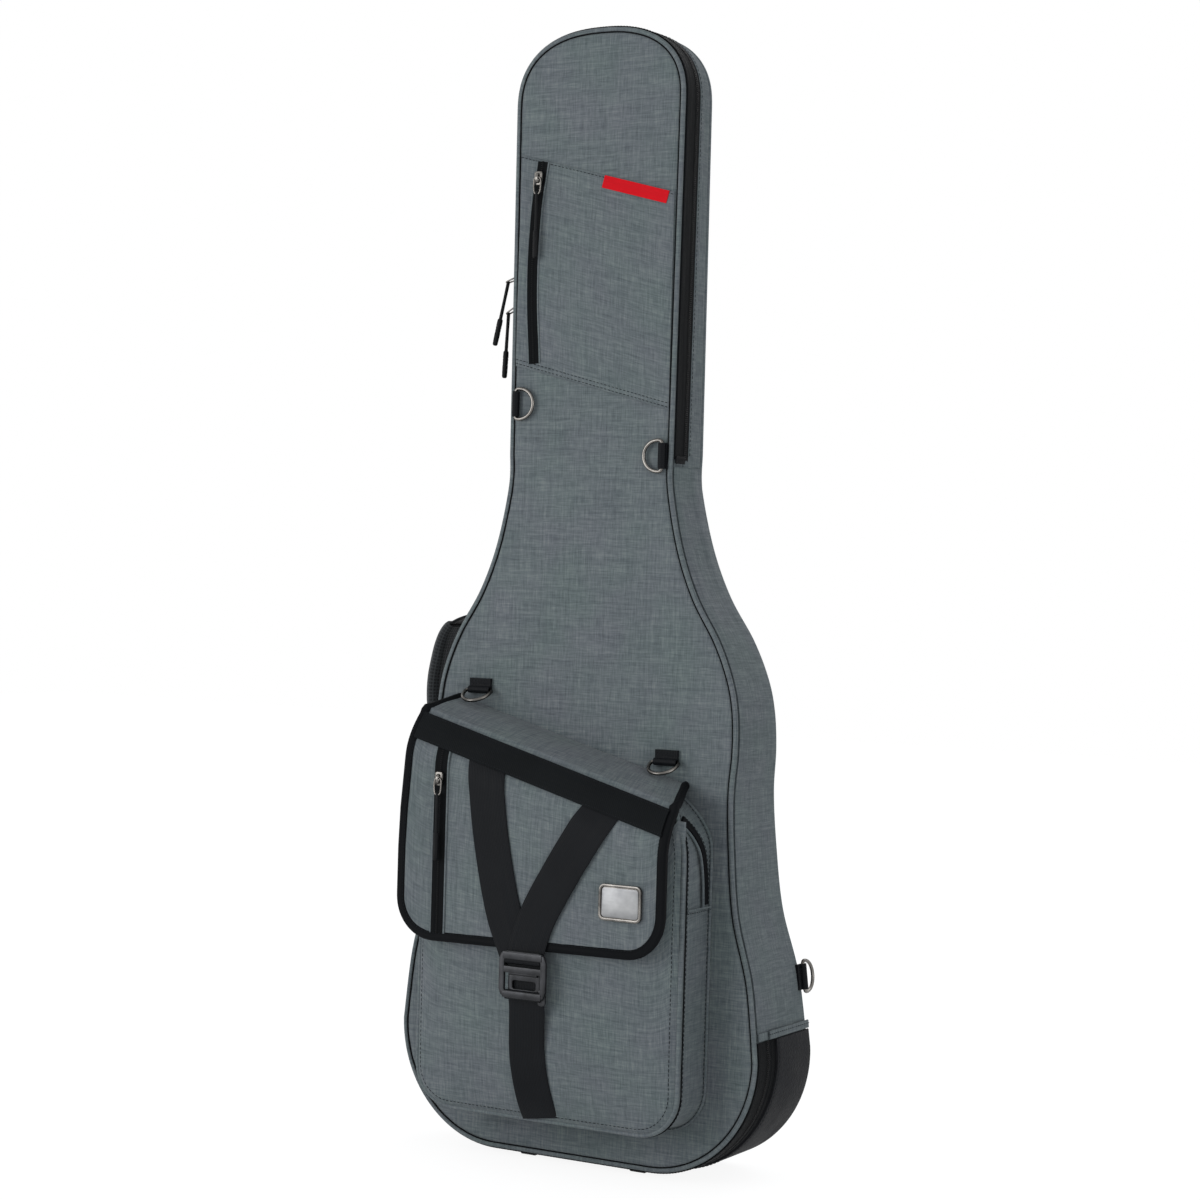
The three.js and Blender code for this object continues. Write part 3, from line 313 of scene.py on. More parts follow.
@dataclass(frozen=True)
class Grain(Finish):
    """Moulded or coated surface with a pebbled grain."""

    cell: float
    depth: float
    rough: float

    def paint(self, graph: Graph) -> Paint:
        """Returns: colour, roughness, normal, and the shader's fixed numbers."""
        place = graph.space()
        cells = graph.node("ShaderNodeTexVoronoi", {"feature": "F1"}, {"Vector": place, "Scale": 1 / self.cell})[0]
        fine = graph.noise(place, 0.6 / self.cell, 4.0, 0.6)
        scuff = graph.noise(place, 22.0, 4.0, 0.6)
        base = self.toned(graph, (fine * 0.6 + scuff * 0.6 - 0.1).spread(0.25, 0.85))
        rough = scuff.spread(0.3, 0.7, self.rough - 0.08, self.rough + 0.12)
        normal = graph.bump(cells * 0.7 + fine * 0.6, 0.6, self.depth)
        return base, rough, normal, {"Specular IOR Level": 0.1}


@dataclass(frozen=True)
class Metal(Finish):
    """Cast or plated metal, brushed one way or polished with fine scratches."""

    rough: float
    metallic: float = 1.0
    stretch: Triple = (300.0, 300.0, 300.0)

    def paint(self, graph: Graph) -> Paint:
        """Returns: colour, roughness, normal, and the shader's fixed numbers."""
        place = graph.space()
        scratched = graph.node("ShaderNodeMapping", None, {"Vector": place, "Scale": self.stretch})[0]
        lines = graph.noise(scratched, 1.0, 3.0, 0.6)
        stain = graph.noise(place, 60.0, 3.0)
        rough = (lines * 0.6 + stain * 0.4).spread(0.3, 0.7, self.rough - 0.07, self.rough + 0.1)
        normal = graph.bump(lines, 0.12, 0.0002)
        return self.toned(graph, stain.spread(0.3, 0.7)), rough, normal, {"Metallic": self.metallic}


@dataclass(frozen=True)
class Pile(Finish):
    """Soft short pile of the lining, or the open spacer mesh of the pads."""

    holes: float = 0.0

    def paint(self, graph: Graph) -> Paint:
        """Returns: colour, roughness, normal, and the shader's fixed numbers."""
        place = graph.space()
        height = graph.noise(place, 900.0, 3.0, 0.7)
        patch = graph.noise(place, 28.0, 3.0)
        tone = height * 0.5 + patch * 0.6 - 0.05
        if self.holes:
            across, along = graph.cloth()
            turn = math.pi / self.holes
            height = 1.0 - (across * turn).ridges() * (along * turn).ridges()
            tone = tone * 0.5 + height * 0.5
        normal = graph.bump(height, 0.5, 0.0006)
        fixed = {"Sheen Weight": 0.2, "Specular IOR Level": 0.2}
        return self.toned(graph, tone.spread(0.2, 0.8)), patch.spread(0.3, 0.7, 0.88, 1.0), normal, fixed


class Look(Enum):
    """Finishes of the bag, each listed with a slot of the record."""

    CANVAS = Heather("heather_canvas", (74, 81, 84), (114, 121, 120), (94, 101, 103)), Slot.CANVAS
    SIDE = Heather("heather_side", (68, 75, 78), (106, 113, 113), (86, 93, 95)), Slot.SHADE_CANVAS
    WEBBING = Narrow("strap_webbing", (6, 7, 9), (24, 26, 29), Weave.SATIN, 0.0017, 0.46), Slot.WEBBING
    BINDING = Narrow("edge_binding", (4, 5, 6), (15, 17, 20), Weave.TAPE, 0.0011, 0.68), Slot.WEBBING
    RIBBED = Narrow("ribbed_webbing", (4, 5, 6), (22, 25, 27), Weave.RIBBED, 0.0019, 0.66), Slot.RIBBED_BAND
    TAPE = Narrow("zip_cloth", (4, 5, 6), (15, 17, 19), Weave.TAPE, 0.0009, 0.75), Slot.ZIP_TAPE
    THREAD = Grain("sewing_thread", (20, 22, 25), (38, 41, 44), 0.0006, 0.0001, 0.8), Slot.CANVAS
    TEETH = Grain("zip_teeth", (6, 7, 8), (18, 19, 21), 0.001, 0.0001, 0.5), Slot.ZIP_TAPE
    RUBBER = Grain("boot_rubber", (13, 14, 16), (36, 37, 40), 0.0021, 0.0007, 0.66), Slot.RUBBER
    MOULDED = Grain("moulded_plastic", (9, 10, 11), (26, 27, 29), 0.0012, 0.0001, 0.5), Slot.PLASTIC
    NICKEL = Metal("polished_nickel", (74, 72, 70), (128, 125, 121), 0.24), Slot.NICKEL
    GUNMETAL = Metal("gunmetal", (30, 31, 33), (56, 57, 60), 0.38, 0.7), Slot.GUNMETAL
    STEEL = Metal("satin_steel", (112, 113, 115), (146, 147, 148), 0.42, 1.0, (40.0, 40.0, 1400.0)), Slot.BADGE_PLATE
    PLUSH = Pile("plush_lining", (56, 60, 62), (92, 97, 99)), Slot.PLUSH
    AIR_MESH = Pile("spacer_mesh", (18, 19, 20), (58, 61, 63), 0.0034), Slot.AIR_MESH
    LABEL = Narrow("red_label", (176, 8, 20), (214, 22, 34), Weave.RIBBED, 0.0008, 0.6), Slot.LABEL_RED


# --------------- shape of the bag


def unit(vectors: Array) -> Array:
    """Returns: vectors scaled to length one."""
    return vectors / np.maximum(np.linalg.norm(vectors, axis=-1, keepdims=True), 1e-9)


def heading(path: Array) -> Array:
    """Returns: unit direction of an open line at each of its points."""
    return unit(np.gradient(path, axis=0))


def lengths(points: Array) -> Array:
    """Returns: distance of each point from the first along the line."""
    return np.concatenate([[0], np.cumsum(np.linalg.norm(np.diff(points, axis=0), axis=1))])


def points(x: object, y: object, z: object) -> Array:
    """Returns: points of three coordinates, each one number or one per point."""
    return np.stack(np.broadcast_arrays(x, y, z), axis=-1).astype(float)


def eased(count: int) -> Array:
    """Returns: numbers from -1 to 1, closer together near both ends."""
    t = np.linspace(-1, 1, count)
    return t * (1.5 - 0.5 * t**2)


def resample(line: Array, step: float, closed: bool = False) -> Array:
    """Spreads points evenly along a line.

    Args:
        line: the line's corners.
        step: wanted spacing.
        closed: whether the line returns to its start.

    Returns:
        Evenly spaced points, without a repeated last one if closed.
    """
    line = np.vstack([line, line[:1]]) if closed else np.asarray(line, float)
    run = lengths(line)
    at = np.linspace(0, run[-1], max(2, int(round(run[-1] / step)) + 1))
    made = np.stack([np.interp(at, run, line[:, k]) for k in range(line.shape[1])], axis=1)
    return made[:-1] if closed else made


def smooth_line(stops: Sequence[Sequence[float]], step: float) -> Array:
    """Returns: a centripetal curve through the stops, evenly spaced."""
    knots = [np.asarray(p, float) for p in stops]
    knots = [2 * knots[0] - knots[1], *knots, 2 * knots[-1] - knots[-2]]
    made: list[Array] = []
    for p0, p1, p2, p3 in zip(knots, knots[1:], knots[2:], knots[3:]):
        t1 = np.linalg.norm(p1 - p0) ** 0.5
        t2 = t1 + np.linalg.norm(p2 - p1) ** 0.5
        t3 = t2 + np.linalg.norm(p3 - p2) ** 0.5
        for t in np.linspace(t1, t2, 14, endpoint=False):
            a1 = (t1 - t) / t1 * p0 + t / t1 * p1
            a2 = (t2 - t) / (t2 - t1) * p1 + (t - t1) / (t2 - t1) * p2
            a3 = (t3 - t) / (t3 - t2) * p2 + (t - t2) / (t3 - t2) * p3
            b1 = (t2 - t) / t2 * a1 + t / t2 * a2
            b2 = (t3 - t) / (t3 - t1) * a2 + (t - t1) / (t3 - t1) * a3
            made.append((t2 - t) / (t2 - t1) * b1 + (t - t1) / (t2 - t1) * b2)
    made.append(knots[-2])
    return resample(np.array(made), step)


def soft(x: Array, z: Array, seed: int, wave: float) -> Array:
    """Gentle uneven relief from -1 to 1, for cloth that doesn't lie quite flat.

    Args:
        x: first coordinate in millimetres.
        z: second coordinate in millimetres.
        seed: fixes the pattern.
        wave: typical wavelength in millimetres.

    Returns:
        The relief at each place.
    """
    draw = np.random.default_rng(seed)
    count = 7
    total = np.zeros(np.broadcast(x, z).shape)
    for _ in range(count):
        turn, phase = draw.uniform(0, math.pi), draw.uniform(0, 2 * math.pi)
        length = wave * draw.uniform(0.6, 1.7)
        total = total + np.sin(2 * math.pi * (x * math.cos(turn) + z * math.sin(turn)) / length + phase)
    return total / count * 1.6


def distance_to(places: Array, line: Array, closed: bool = True) -> Array:
    """Returns: distance of each [x, z] place to a line."""
    start = line if closed else line[:-1]
    end = np.roll(line, -1, axis=0) if closed else line[1:]
    best = np.full(len(places), 1e9)
    for a, b in zip(start, end):
        ab = b - a
        t = np.clip(((places - a) @ ab) / max(ab @ ab, 1e-9), 0, 1)
        best = np.minimum(best, np.linalg.norm(places - a - t[:, None] * ab, axis=1))
    return best


@dataclass(frozen=True)
class BagShape:
    """Outline and depths in millimetres: x = 0 in the middle, y = 0 on the lid's face, z = 0 on the floor."""

    height: float = 1070.0
    base_lift: float = 8.0
    base_half: float = 84.5
    bout_half: float = 192.6
    bout_z: float = 120.7
    side: tuple = (
        (190, 184.5), (250, 168.6), (310, 162.4), (360, 160.4), (400, 163.3), (435, 162.3),
        (465, 156.2), (500, 141.6), (540, 117.5), (585, 100.1), (640, 88.6), (672, 88.4),
    )
    head_half: float = 90.8
    head_arch: float = 71.0
    squareness: float = 2.4
    base_depth: float = 118.0
    neck_depth: float = 62.0
    head_depth: float = 54.0
    neck_z: float = 640.0
    boot_top: float = 142.0
    zip_low: float = 139.0
    zip_high: float = 664.0

    def half_outline(self) -> Array:
        """Returns: [x, z] from the middle of the base up the right side to the top."""
        line = [(0.0, self.base_lift)]
        for turn in np.linspace(0, math.pi / 2, 26):
            rise = (self.bout_z - self.base_lift) * (1 - math.cos(turn))
            line.append((self.base_half + (self.bout_half - self.base_half) * math.sin(turn), self.base_lift + rise))
        knots = np.array([(self.bout_half, self.bout_z), *((half, z) for z, half in self.side)])
        last = len(knots) - 1
        for i in range(last):
            p0, p1, p2, p3 = (knots[min(max(i + k, 0), last)] for k in (-1, 0, 1, 2))
            v0, v1 = (p2 - p0) / 2, (p3 - p1) / 2
            for w in np.linspace(0, 1, 9)[1:]:
                cubic = (2 * p1 - 2 * p2 + v0 + v1) * w**3 + (-3 * p1 + 3 * p2 - 2 * v0 - v1) * w**2
                line.append(tuple(cubic + v0 * w + p1))
        spring = self.height - self.head_arch
        for turn in np.linspace(0, math.pi / 2, 30):
            c, s = max(math.cos(turn), 0.0) ** (2 / self.squareness), math.sin(turn) ** (2 / self.squareness)
            line.append((self.head_half * c, spring + self.head_arch * s))
        return np.array(line)

    def inset_half(self, inset: float, step: float = 4.0) -> Array:
        """Returns: the half outline moved inwards, evenly spaced."""
        half = resample(self.half_outline(), step)
        ahead = np.vstack([half[1:2], half[2:], half[-1:]])
        behind = np.vstack([half[:1], half[:-2], half[-2:-1]])
        along = unit(ahead - behind)
        along[0], along[-1] = (1, 0), (-1, 0)
        return half + inset * np.stack([-along[:, 1], along[:, 0]], axis=1)

    def loop(self, inset: float, step: float = 4.0) -> Array:
        """Returns: the whole outline moved inwards, from the middle of the base to the right and round."""
        half = self.inset_half(inset, step)
        return np.vstack([half, half[-2:0:-1] * (-1, 1)])

    def side_at(self, z: float) -> float:
        """Returns: half width at a height above the widest line."""
        return float(self.wall(z)[0])

    def wall(self, z: float, side: int = 1) -> tuple[float, Array]:
        """Returns: x of a side at a height above the widest line, and its outward direction."""
        half = self.half_outline()
        index = int(np.argmax((half[1:, 1] >= z) & (half[:-1, 1] < z))) + 1
        (x0, z0), (x1, z1) = half[index - 1], half[index]
        lean = math.atan2(x1 - x0, z1 - z0)
        x = x0 + (z - z0) / (z1 - z0) * (x1 - x0)
        return side * x, np.array([side * math.cos(lean), 0, -math.sin(lean)])

    def back(self, z: object) -> object:
        """Returns: depth of the back face at a height, or at each of several."""
        z = np.asarray(z)
        body = self.base_depth + (self.neck_depth - self.base_depth) * z / self.neck_z
        share = (z - self.neck_z) / (self.height - self.neck_z)
        depth = np.where(z < self.neck_z, body, self.neck_depth + (self.head_depth - self.neck_depth) * share)
        return depth if depth.ndim else float(depth)


SHAPE = BagShape()


# --------------- meshes


class Place:
    """Turns the bag's millimetres into the row's frame."""

    offset: Array = np.zeros(3)

    @classmethod
    def settle(cls) -> None:
        """Reads the offset from the lid's front panel."""
        low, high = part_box("lid_panel")
        cls.offset = np.array([(low[0] + high[0]) / 2, low[1], 0.0])

    @classmethod
    def world(cls, places: object) -> Array:
        """Returns: points in metres in the row's frame."""
        return np.asarray(places, float) * MM + cls.offset


@dataclass
class Form:
    """A mesh in the bag's millimetres, with cloth coordinates per corner in metres."""

    verts: Array
    faces: list[tuple[int, ...]]
    cloth: list[list[tuple[float, float]]]
    crease: float = 38.0

    def joined(self, *others: "Form") -> "Form":
        """Returns: one form of several."""
        verts, faces, cloth = [self.verts], list(self.faces), list(self.cloth)
        shift = len(self.verts)
        for other in others:
            verts.append(other.verts)
            faces += [tuple(i + shift for i in face) for face in other.faces]
            cloth += other.cloth
            shift += len(other.verts)
        return Form(np.vstack(verts), faces, cloth, self.crease)

    def outward(self) -> "Form":
        """Returns: the closed form with its faces pointing out."""
        volume = 0.0
        for first, *rest in self.faces:
            for j, k in zip(rest, rest[1:]):
                volume += self.verts[first] @ np.cross(self.verts[j], self.verts[k])
        if volume < 0:
            self.faces = [face[::-1] for face in self.faces]
            self.cloth = [corner[::-1] for corner in self.cloth]
        return self

    def placed(self, *matrices: Matrix) -> "Form":
        """Returns: the form moved by matrices in millimetres, one after the other."""
        verts = self.verts
        for matrix in matrices:
            m = np.array(matrix)
            verts = verts @ m[:3, :3].T + m[:3, 3]
        return Form(verts, self.faces, self.cloth, self.crease)


def loft(rings: Sequence[Array], closed: bool = False) -> Form:
    """A surface through closed rings of points.

    Args:
        rings: [stations, ring points, 3] in millimetres.
        closed: whether the last ring meets the first; otherwise both ends are capped.

    Returns:
        A closed form.
    """
    rings = np.asarray(rings, float)
    stations, count = rings.shape[:2]
    middle, centre = rings[stations // 2], rings.mean(axis=1)
    around = lengths(np.vstack([middle, middle[:1]])) * MM
    along = lengths(np.vstack([centre, centre[:1]])) * MM
    faces, cloth = [], []
    for r in range(stations if closed else stations - 1):
        for i in range(count):
            j, n = (i + 1) % count, (r + 1) % stations
            faces.append((r * count + i, r * count + j, n * count + j, n * count + i))
            u0, u1, v0, v1 = around[i], around[i + 1], along[r], along[r + 1]
            cloth.append([(u0, v0), (u1, v0), (u1, v1), (u0, v1)])
    if not closed:
        for station, order in ((0, range(count)[::-1]), (stations - 1, range(count))):
            flat = rings[station] - centre[station]
            spots = flat @ np.linalg.svd(flat)[2][:2].T * MM
            faces.append(tuple(station * count + i for i in order))
            cloth.append([tuple(spots[i]) for i in order])
    return Form(rings.reshape(-1, 3), faces, cloth).outward()


def sweep(path: Array, profile: object, out: object, closed: bool = False) -> Form:
    """A profile carried along a path.

    Args:
        path: [n, 3] points.
        profile: [across, out] points, or a function of the share of the way that gives them.
        out: direction that the profile's second axis keeps to, one for all or one per point.
        closed: whether the path is a loop.

    Returns:
        A closed form.
    """
    path = np.asarray(path, float)
    if closed:
        along = unit(np.roll(path, -1, axis=0) - np.roll(path, 1, axis=0))
    else:
        along = unit(np.vstack([path[1:2] - path[:1], path[2:] - path[:-2], path[-1:] - path[-2:-1]]))
    across = unit(np.cross(along, np.broadcast_to(np.asarray(out, float), path.shape)))
    up = np.cross(across, along)
    rings = []
    for i, point in enumerate(path):
        outline = profile(i / (len(path) - 1)) if callable(profile) else profile
        rings.append(point + outline[:, :1] * across[i] + outline[:, 1:] * up[i])
    return loft(rings, closed)


def twins(path: Array, aside: Array, profile: Array, out: object) -> Form:
    """Returns: one form of the same strip on both sides of a path."""
    first, second = (sweep(path + side * aside, profile, out) for side in (-1, 1))
    return first.joined(second)


def round_section(radius: float, sides: int = 12, squash: float = 1.0) -> Array:
    """Returns: a circle, or an oval if squashed."""
    turn = np.linspace(0, 2 * math.pi, sides, endpoint=False)
    return np.stack([radius * np.cos(turn), radius * squash * np.sin(turn)], axis=1)


def rounded(width: float, height: float, radius: float, steps: int, x: float = 0.0, z: float = 0.0) -> Array:
    """Returns: a rounded rectangle about [x, z], from its upper right corner round."""
    line = []
    for corner, (sx, sz) in enumerate(((1, 1), (-1, 1), (-1, -1), (1, -1))):
        for k in range(steps + 1):
            turn = math.pi / 2 * (corner + k / steps)
            cx, cz = sx * (width / 2 - radius), sz * (height / 2 - radius)
            line.append((x + cx + radius * math.cos(turn), z + cz + radius * math.sin(turn)))
    return np.array(line)


def flat_section(width: float, thick: float, radius: float, cuts: int = 0) -> Array:
    """Returns: a rounded rectangle, with extra points along its long sides."""
    radius = min(radius, thick / 2 - 1e-3, width / 2 - 1e-3)
    corners = rounded(width, thick, radius, 3).reshape(4, 4, 2)
    share = np.arange(1, cuts + 1)[:, None] / (cuts + 1)
    edges = [corners[c, -1] + (corners[c + 1, 0] - corners[c, -1]) * share for c in (0, 2)]
    return np.vstack([corners[0], edges[0], corners[1], corners[2], edges[1], corners[3]])


STRAP = flat_section(38.0, 1.4, 0.6, 6)


def shell(outer: Array, inner: Array) -> Form:
    """A closed sheet between two grids of points.

    Args:
        outer: [rows, columns, 3], the face that shows.
        inner: the same grid on the other face.

    Returns:
        The form, with cloth coordinates measured along its rows and columns.
    """
    rows, columns = outer.shape[:2]
    wide = np.array([lengths(row) for row in outer])
    wide = (wide - wide[:, -1:] / 2) * MM
    tall = lengths(outer[:, columns // 2]) * MM
    faces: list[tuple[int, ...]] = []
    cloth: list[list[tuple[float, float]]] = []

    def put(*corners: tuple[int, int, int]) -> None:
        """Adds a face by (layer, row, column) corners."""
        faces.append(tuple(layer * rows * columns + r * columns + c for layer, r, c in corners))
        cloth.append([(float(wide[r, c]), float(tall[r])) for _, r, c in corners])

    last = columns - 1
    for r in range(rows - 1):
        for c in range(last):
            put((0, r, c), (0, r, c + 1), (0, r + 1, c + 1), (0, r + 1, c))
            put((1, r + 1, c), (1, r + 1, c + 1), (1, r, c + 1), (1, r, c))
        put((0, r + 1, 0), (1, r + 1, 0), (1, r, 0), (0, r, 0))
        put((0, r, last), (1, r, last), (1, r + 1, last), (0, r + 1, last))
    for c in range(last):
        put((0, 0, c + 1), (0, 0, c), (1, 0, c), (1, 0, c + 1))
        put((0, rows - 1, c), (0, rows - 1, c + 1), (1, rows - 1, c + 1), (1, rows - 1, c))
    return Form(np.vstack([outer.reshape(-1, 3), inner.reshape(-1, 3)]), faces, cloth, 60.0).outward()


def backed(grid: Array, y: object) -> Form:
    """Returns: the sheet from a grid of points to the same grid at another depth."""
    behind = grid.copy()
    behind[..., 1] = y
    return shell(grid, behind)


def plate(outline: Array, front: float, back: float, edge: float = 0.6, hole: Optional[Array] = None) -> Form:
    """A flat part lying in x and z with its edges broken, and one hole if given.

    Args:
        outline: [x, z] points.
        front: y of its front face.
        back: y of its back face.
        edge: size of the broken edge.
        hole: [x, z] points of the hole, as many as the outline has.

    Returns:
        A closed form.
    """

    def ring(line: Array, inset: float, y: float) -> Array:
        """Returns: the line moved inwards at a depth."""
        along = unit(np.roll(line, -1, axis=0) - np.roll(line, 1, axis=0))
        turn = np.sign(np.sum(line[:, 0] * np.roll(line[:, 1], -1) - np.roll(line[:, 0], -1) * line[:, 1]))
        moved = line + turn * inset * np.stack([-along[:, 1], along[:, 0]], axis=1)
        return points(moved[:, 0], y, moved[:, 1])

    sides = [(edge, back), (0.3 * edge, back - 0.3 * edge), (0, back - edge)]
    sides += [(0, front + edge), (0.3 * edge, front + 0.3 * edge), (edge, front)]
    rings = [ring(outline, inset, y) for inset, y in sides]
    if hole is not None:
        rings += [ring(hole, -inset, y) for inset, y in reversed(sides)]
    form = loft(rings, hole is not None)
    form.crease = 30.0
    return form


@dataclass(frozen=True)
class BeadLine:
    """A line that small shapes are set along, and the direction that they face."""

    points: Array
    facing: Array


@dataclass(frozen=True)
class Beads:
    """Stitches or zip teeth, set along lines by Geometry Nodes; sizes in millimetres."""

    name: str
    look: Look
    spacing: float
    size: Triple
    seed: int = 3
    uneven: float = 0.12

    def tree(self, material: bpy.types.Material) -> bpy.types.NodeTree:
        """Returns: the node tree, with its sizes as inputs."""
        tree = bpy.data.node_groups.new(self.name, "GeometryNodeTree")
        kinds = {"Lines": "Geometry", "Spacing": "Float", "Size": "Vector", "Uneven": "Float", "Seed": "Int"}
        for label, kind in kinds.items():
            tree.interface.new_socket(label, in_out="INPUT", socket_type=f"NodeSocket{kind}")
        tree.interface.new_socket("Beads", in_out="OUTPUT", socket_type="NodeSocketGeometry")
        graph = Graph(tree)
        lines, spacing, size, uneven, seed, _ = graph.node("NodeGroupInput")
        curve = graph.node("GeometryNodeMeshToCurve", None, {0: lines})[0]
        even = graph.node("GeometryNodeResampleCurve", {"mode": "LENGTH"}, {"Curve": curve, "Length": spacing})[0]
        tangent = graph.node("GeometryNodeInputTangent")[0]
        facing = graph.node("GeometryNodeInputNamedAttribute", {"data_type": "FLOAT_VECTOR"}, {"Name": "facing"})[0]
        turned = graph.node("FunctionNodeAlignRotationToVector", {"axis": "X"}, {"Vector": tangent})[0]
        values = {"Rotation": turned, "Vector": facing}
        turned = graph.node("FunctionNodeAlignRotationToVector", {"axis": "Z", "pivot_axis": "X"}, values)[0]
        ball = graph.node("GeometryNodeMeshUVSphere", None, {"Segments": 6, "Rings": 4, "Radius": 0.5})[0]
        ball = graph.node("GeometryNodeTransform", None, {"Geometry": ball, "Scale": size})[0]
        ball = graph.node("GeometryNodeSetShadeSmooth", None, {0: ball})[0]
        limits = {2: 1.0 - uneven, 3: uneven + 1.0, "Seed": seed}
        draw = graph.node("FunctionNodeRandomValue", {"data_type": "FLOAT"}, limits)[1]
        values = {"Points": even, "Instance": ball, "Rotation": turned, "Scale": draw}
        placed = graph.node("GeometryNodeInstanceOnPoints", None, values)[0]
        solid = graph.node("GeometryNodeRealizeInstances", None, {0: placed})[0]
        dressed = graph.node("GeometryNodeSetMaterial", None, {"Geometry": solid, "Material": material})[0]
        graph.node("NodeGroupOutput", None, {0: dressed})
        return tree

    def set_along(self, name: str, lines: Sequence[BeadLine], material: bpy.types.Material) -> bpy.types.Object:
        """Sets the shapes along open lines.

        Args:
            name: the piece's name.
            lines: where they go.
            material: their finish.

        Returns:
            A plain mesh object.
        """
        verts, edges, facing = [], [], []
        for line in lines:
            start, count = len(verts), len(line.points)
            verts += Place.world(line.points).tolist()
            facing += np.broadcast_to(line.facing, (count, 3)).tolist()
            edges += [(start + i, start + i + 1) for i in range(count - 1)]
        mesh = bpy.data.meshes.new(name)
        mesh.from_pydata(verts, edges, [])
        layer = mesh.attributes.new("facing", "FLOAT_VECTOR", "POINT")
        layer.data.foreach_set("vector", np.array(facing, np.float32).ravel())
        piece = linked(name, mesh)
        modifier = piece.modifiers.new("beads", "NODES")
        modifier.node_group = self.tree(material)
        size = tuple(v * MM for v in self.size)
        sizes = {"Spacing": self.spacing * MM, "Size": size, "Uneven": self.uneven, "Seed": self.seed}
        for item in modifier.node_group.interface.items_tree:
            if item.in_out == "INPUT" and item.name in sizes:
                modifier[item.identifier] = sizes[item.name]
        bpy.context.view_layer.update()
        evaluated = piece.evaluated_get(bpy.context.evaluated_depsgraph_get())
        plain = bpy.data.meshes.new_from_object(evaluated)
        piece.modifiers.remove(modifier)
        piece.data = plain
        plain.name = name
        if not plain.materials:
            plain.materials.append(material)
        return piece


STITCH = Beads("stitch_row", Look.THREAD, 4.2, (3.3, 0.75, 0.6))
FINE_STITCH = Beads("fine_stitch_row", Look.THREAD, 3.2, (2.5, 0.6, 0.5))
TEETH = Beads("zip_tooth_row", Look.TEETH, 1.9, (1.25, 3.0, 1.1), uneven=0.0)


def linked(name: str, data: object) -> bpy.types.Object:
    """Returns: a new object in the scene."""
    made = bpy.data.objects.new(name, data)
    bpy.context.scene.collection.objects.link(made)
    return made


@dataclass(frozen=True)
class Cut:
    """A sheet's flat size and area in metres, and what it lies on."""

    flat: tuple[float, float]
    area: float
    rests_on: tuple[str, ...] = ()


@dataclass(frozen=True)
class Bend:
    """Where cloth passes from one body to another, in the bag's millimetres."""

    still: str
    moving: str
    start: Array
    end: Array


class Workshop:
    """Turns forms into Blender objects that ride on the model's bodies."""

    def __init__(self) -> None:
        """Makes every finish."""
        self.materials = {look: look.value[0].build() for look in Look}
        self.count = 0

    def add(
        self,
        name: str,
        form: Form,
        look: Look,
        body: Union[str, Bend],
        *nodes: str,
        slot: Optional[Slot] = None,
        crease: Optional[float] = None,
        fill: Optional[float] = None,
        cut: Optional[Cut] = None,
    ) -> None:
        """Makes a piece of a form.

        Args:
            name: the piece's name.
            form: its mesh.
            look: its finish.
            body: the body that it rides on, or the bend between two.
            nodes: CAD nodes that it stands for.
            slot: the record's material slot, if not the finish's own; not used.
            crease: angle in degrees past which an edge stays sharp, if not the form's own.
            fill: how full a padded piece is; not used.
            cut: the flat cut of a sheet; not used.
        """
        mesh = bpy.data.meshes.new(name)
        mesh.from_pydata(Place.world(form.verts).tolist(), [], form.faces)
        layer = mesh.uv_layers.new(name="cloth")
        layer.data.foreach_set("uv", np.array([c for face in form.cloth for c in face], np.float32).ravel())
        mesh.polygons.foreach_set("use_smooth", [True] * len(mesh.polygons))
        mesh.set_sharp_from_angle(angle=math.radians(crease or form.crease))
        mesh.materials.append(self.materials[look])
        mesh.validate()
        piece = linked(name, mesh)
        self.declare(piece, body, nodes)

    def sew(self, name: str, beads: Beads, lines: Sequence[BeadLine], body: str, slot: Slot) -> None:
        """Makes a piece of stitches or teeth along lines, on a body."""
        self.declare(beads.set_along(name, lines, self.materials[beads.look]), body)

    def declare(self, piece: bpy.types.Object, body: Union[str, Bend], nodes: Sequence[str] = ()) -> None:
        """Puts a piece on its body, or for a bend bakes it where it is, and hides the CAD nodes that it stands for."""
        if isinstance(body, Bend):
            start, end = Place.world(body.start), Place.world(body.end)
            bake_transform(piece)
        else:
            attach(piece, body)
        if nodes:
            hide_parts(*nodes)
        self.count += 1
        log.info("%s: %d faces", piece.name, len(piece.data.polygons))


def on_wall(path: Array, y: object, out: float) -> Array:
    """Returns: points a distance outside an [x, z] outline, at a depth."""
    return points(path[:, 0], y, path[:, 1]) + out * wall_facing(path)


def wall_facing(path: Array) -> Array:
    """Returns: outward directions beside an [x, z] outline that runs up the right side."""
    along = heading(path)
    return points(along[:, 1], 0.0, -along[:, 0])


# --------------- lid and shell


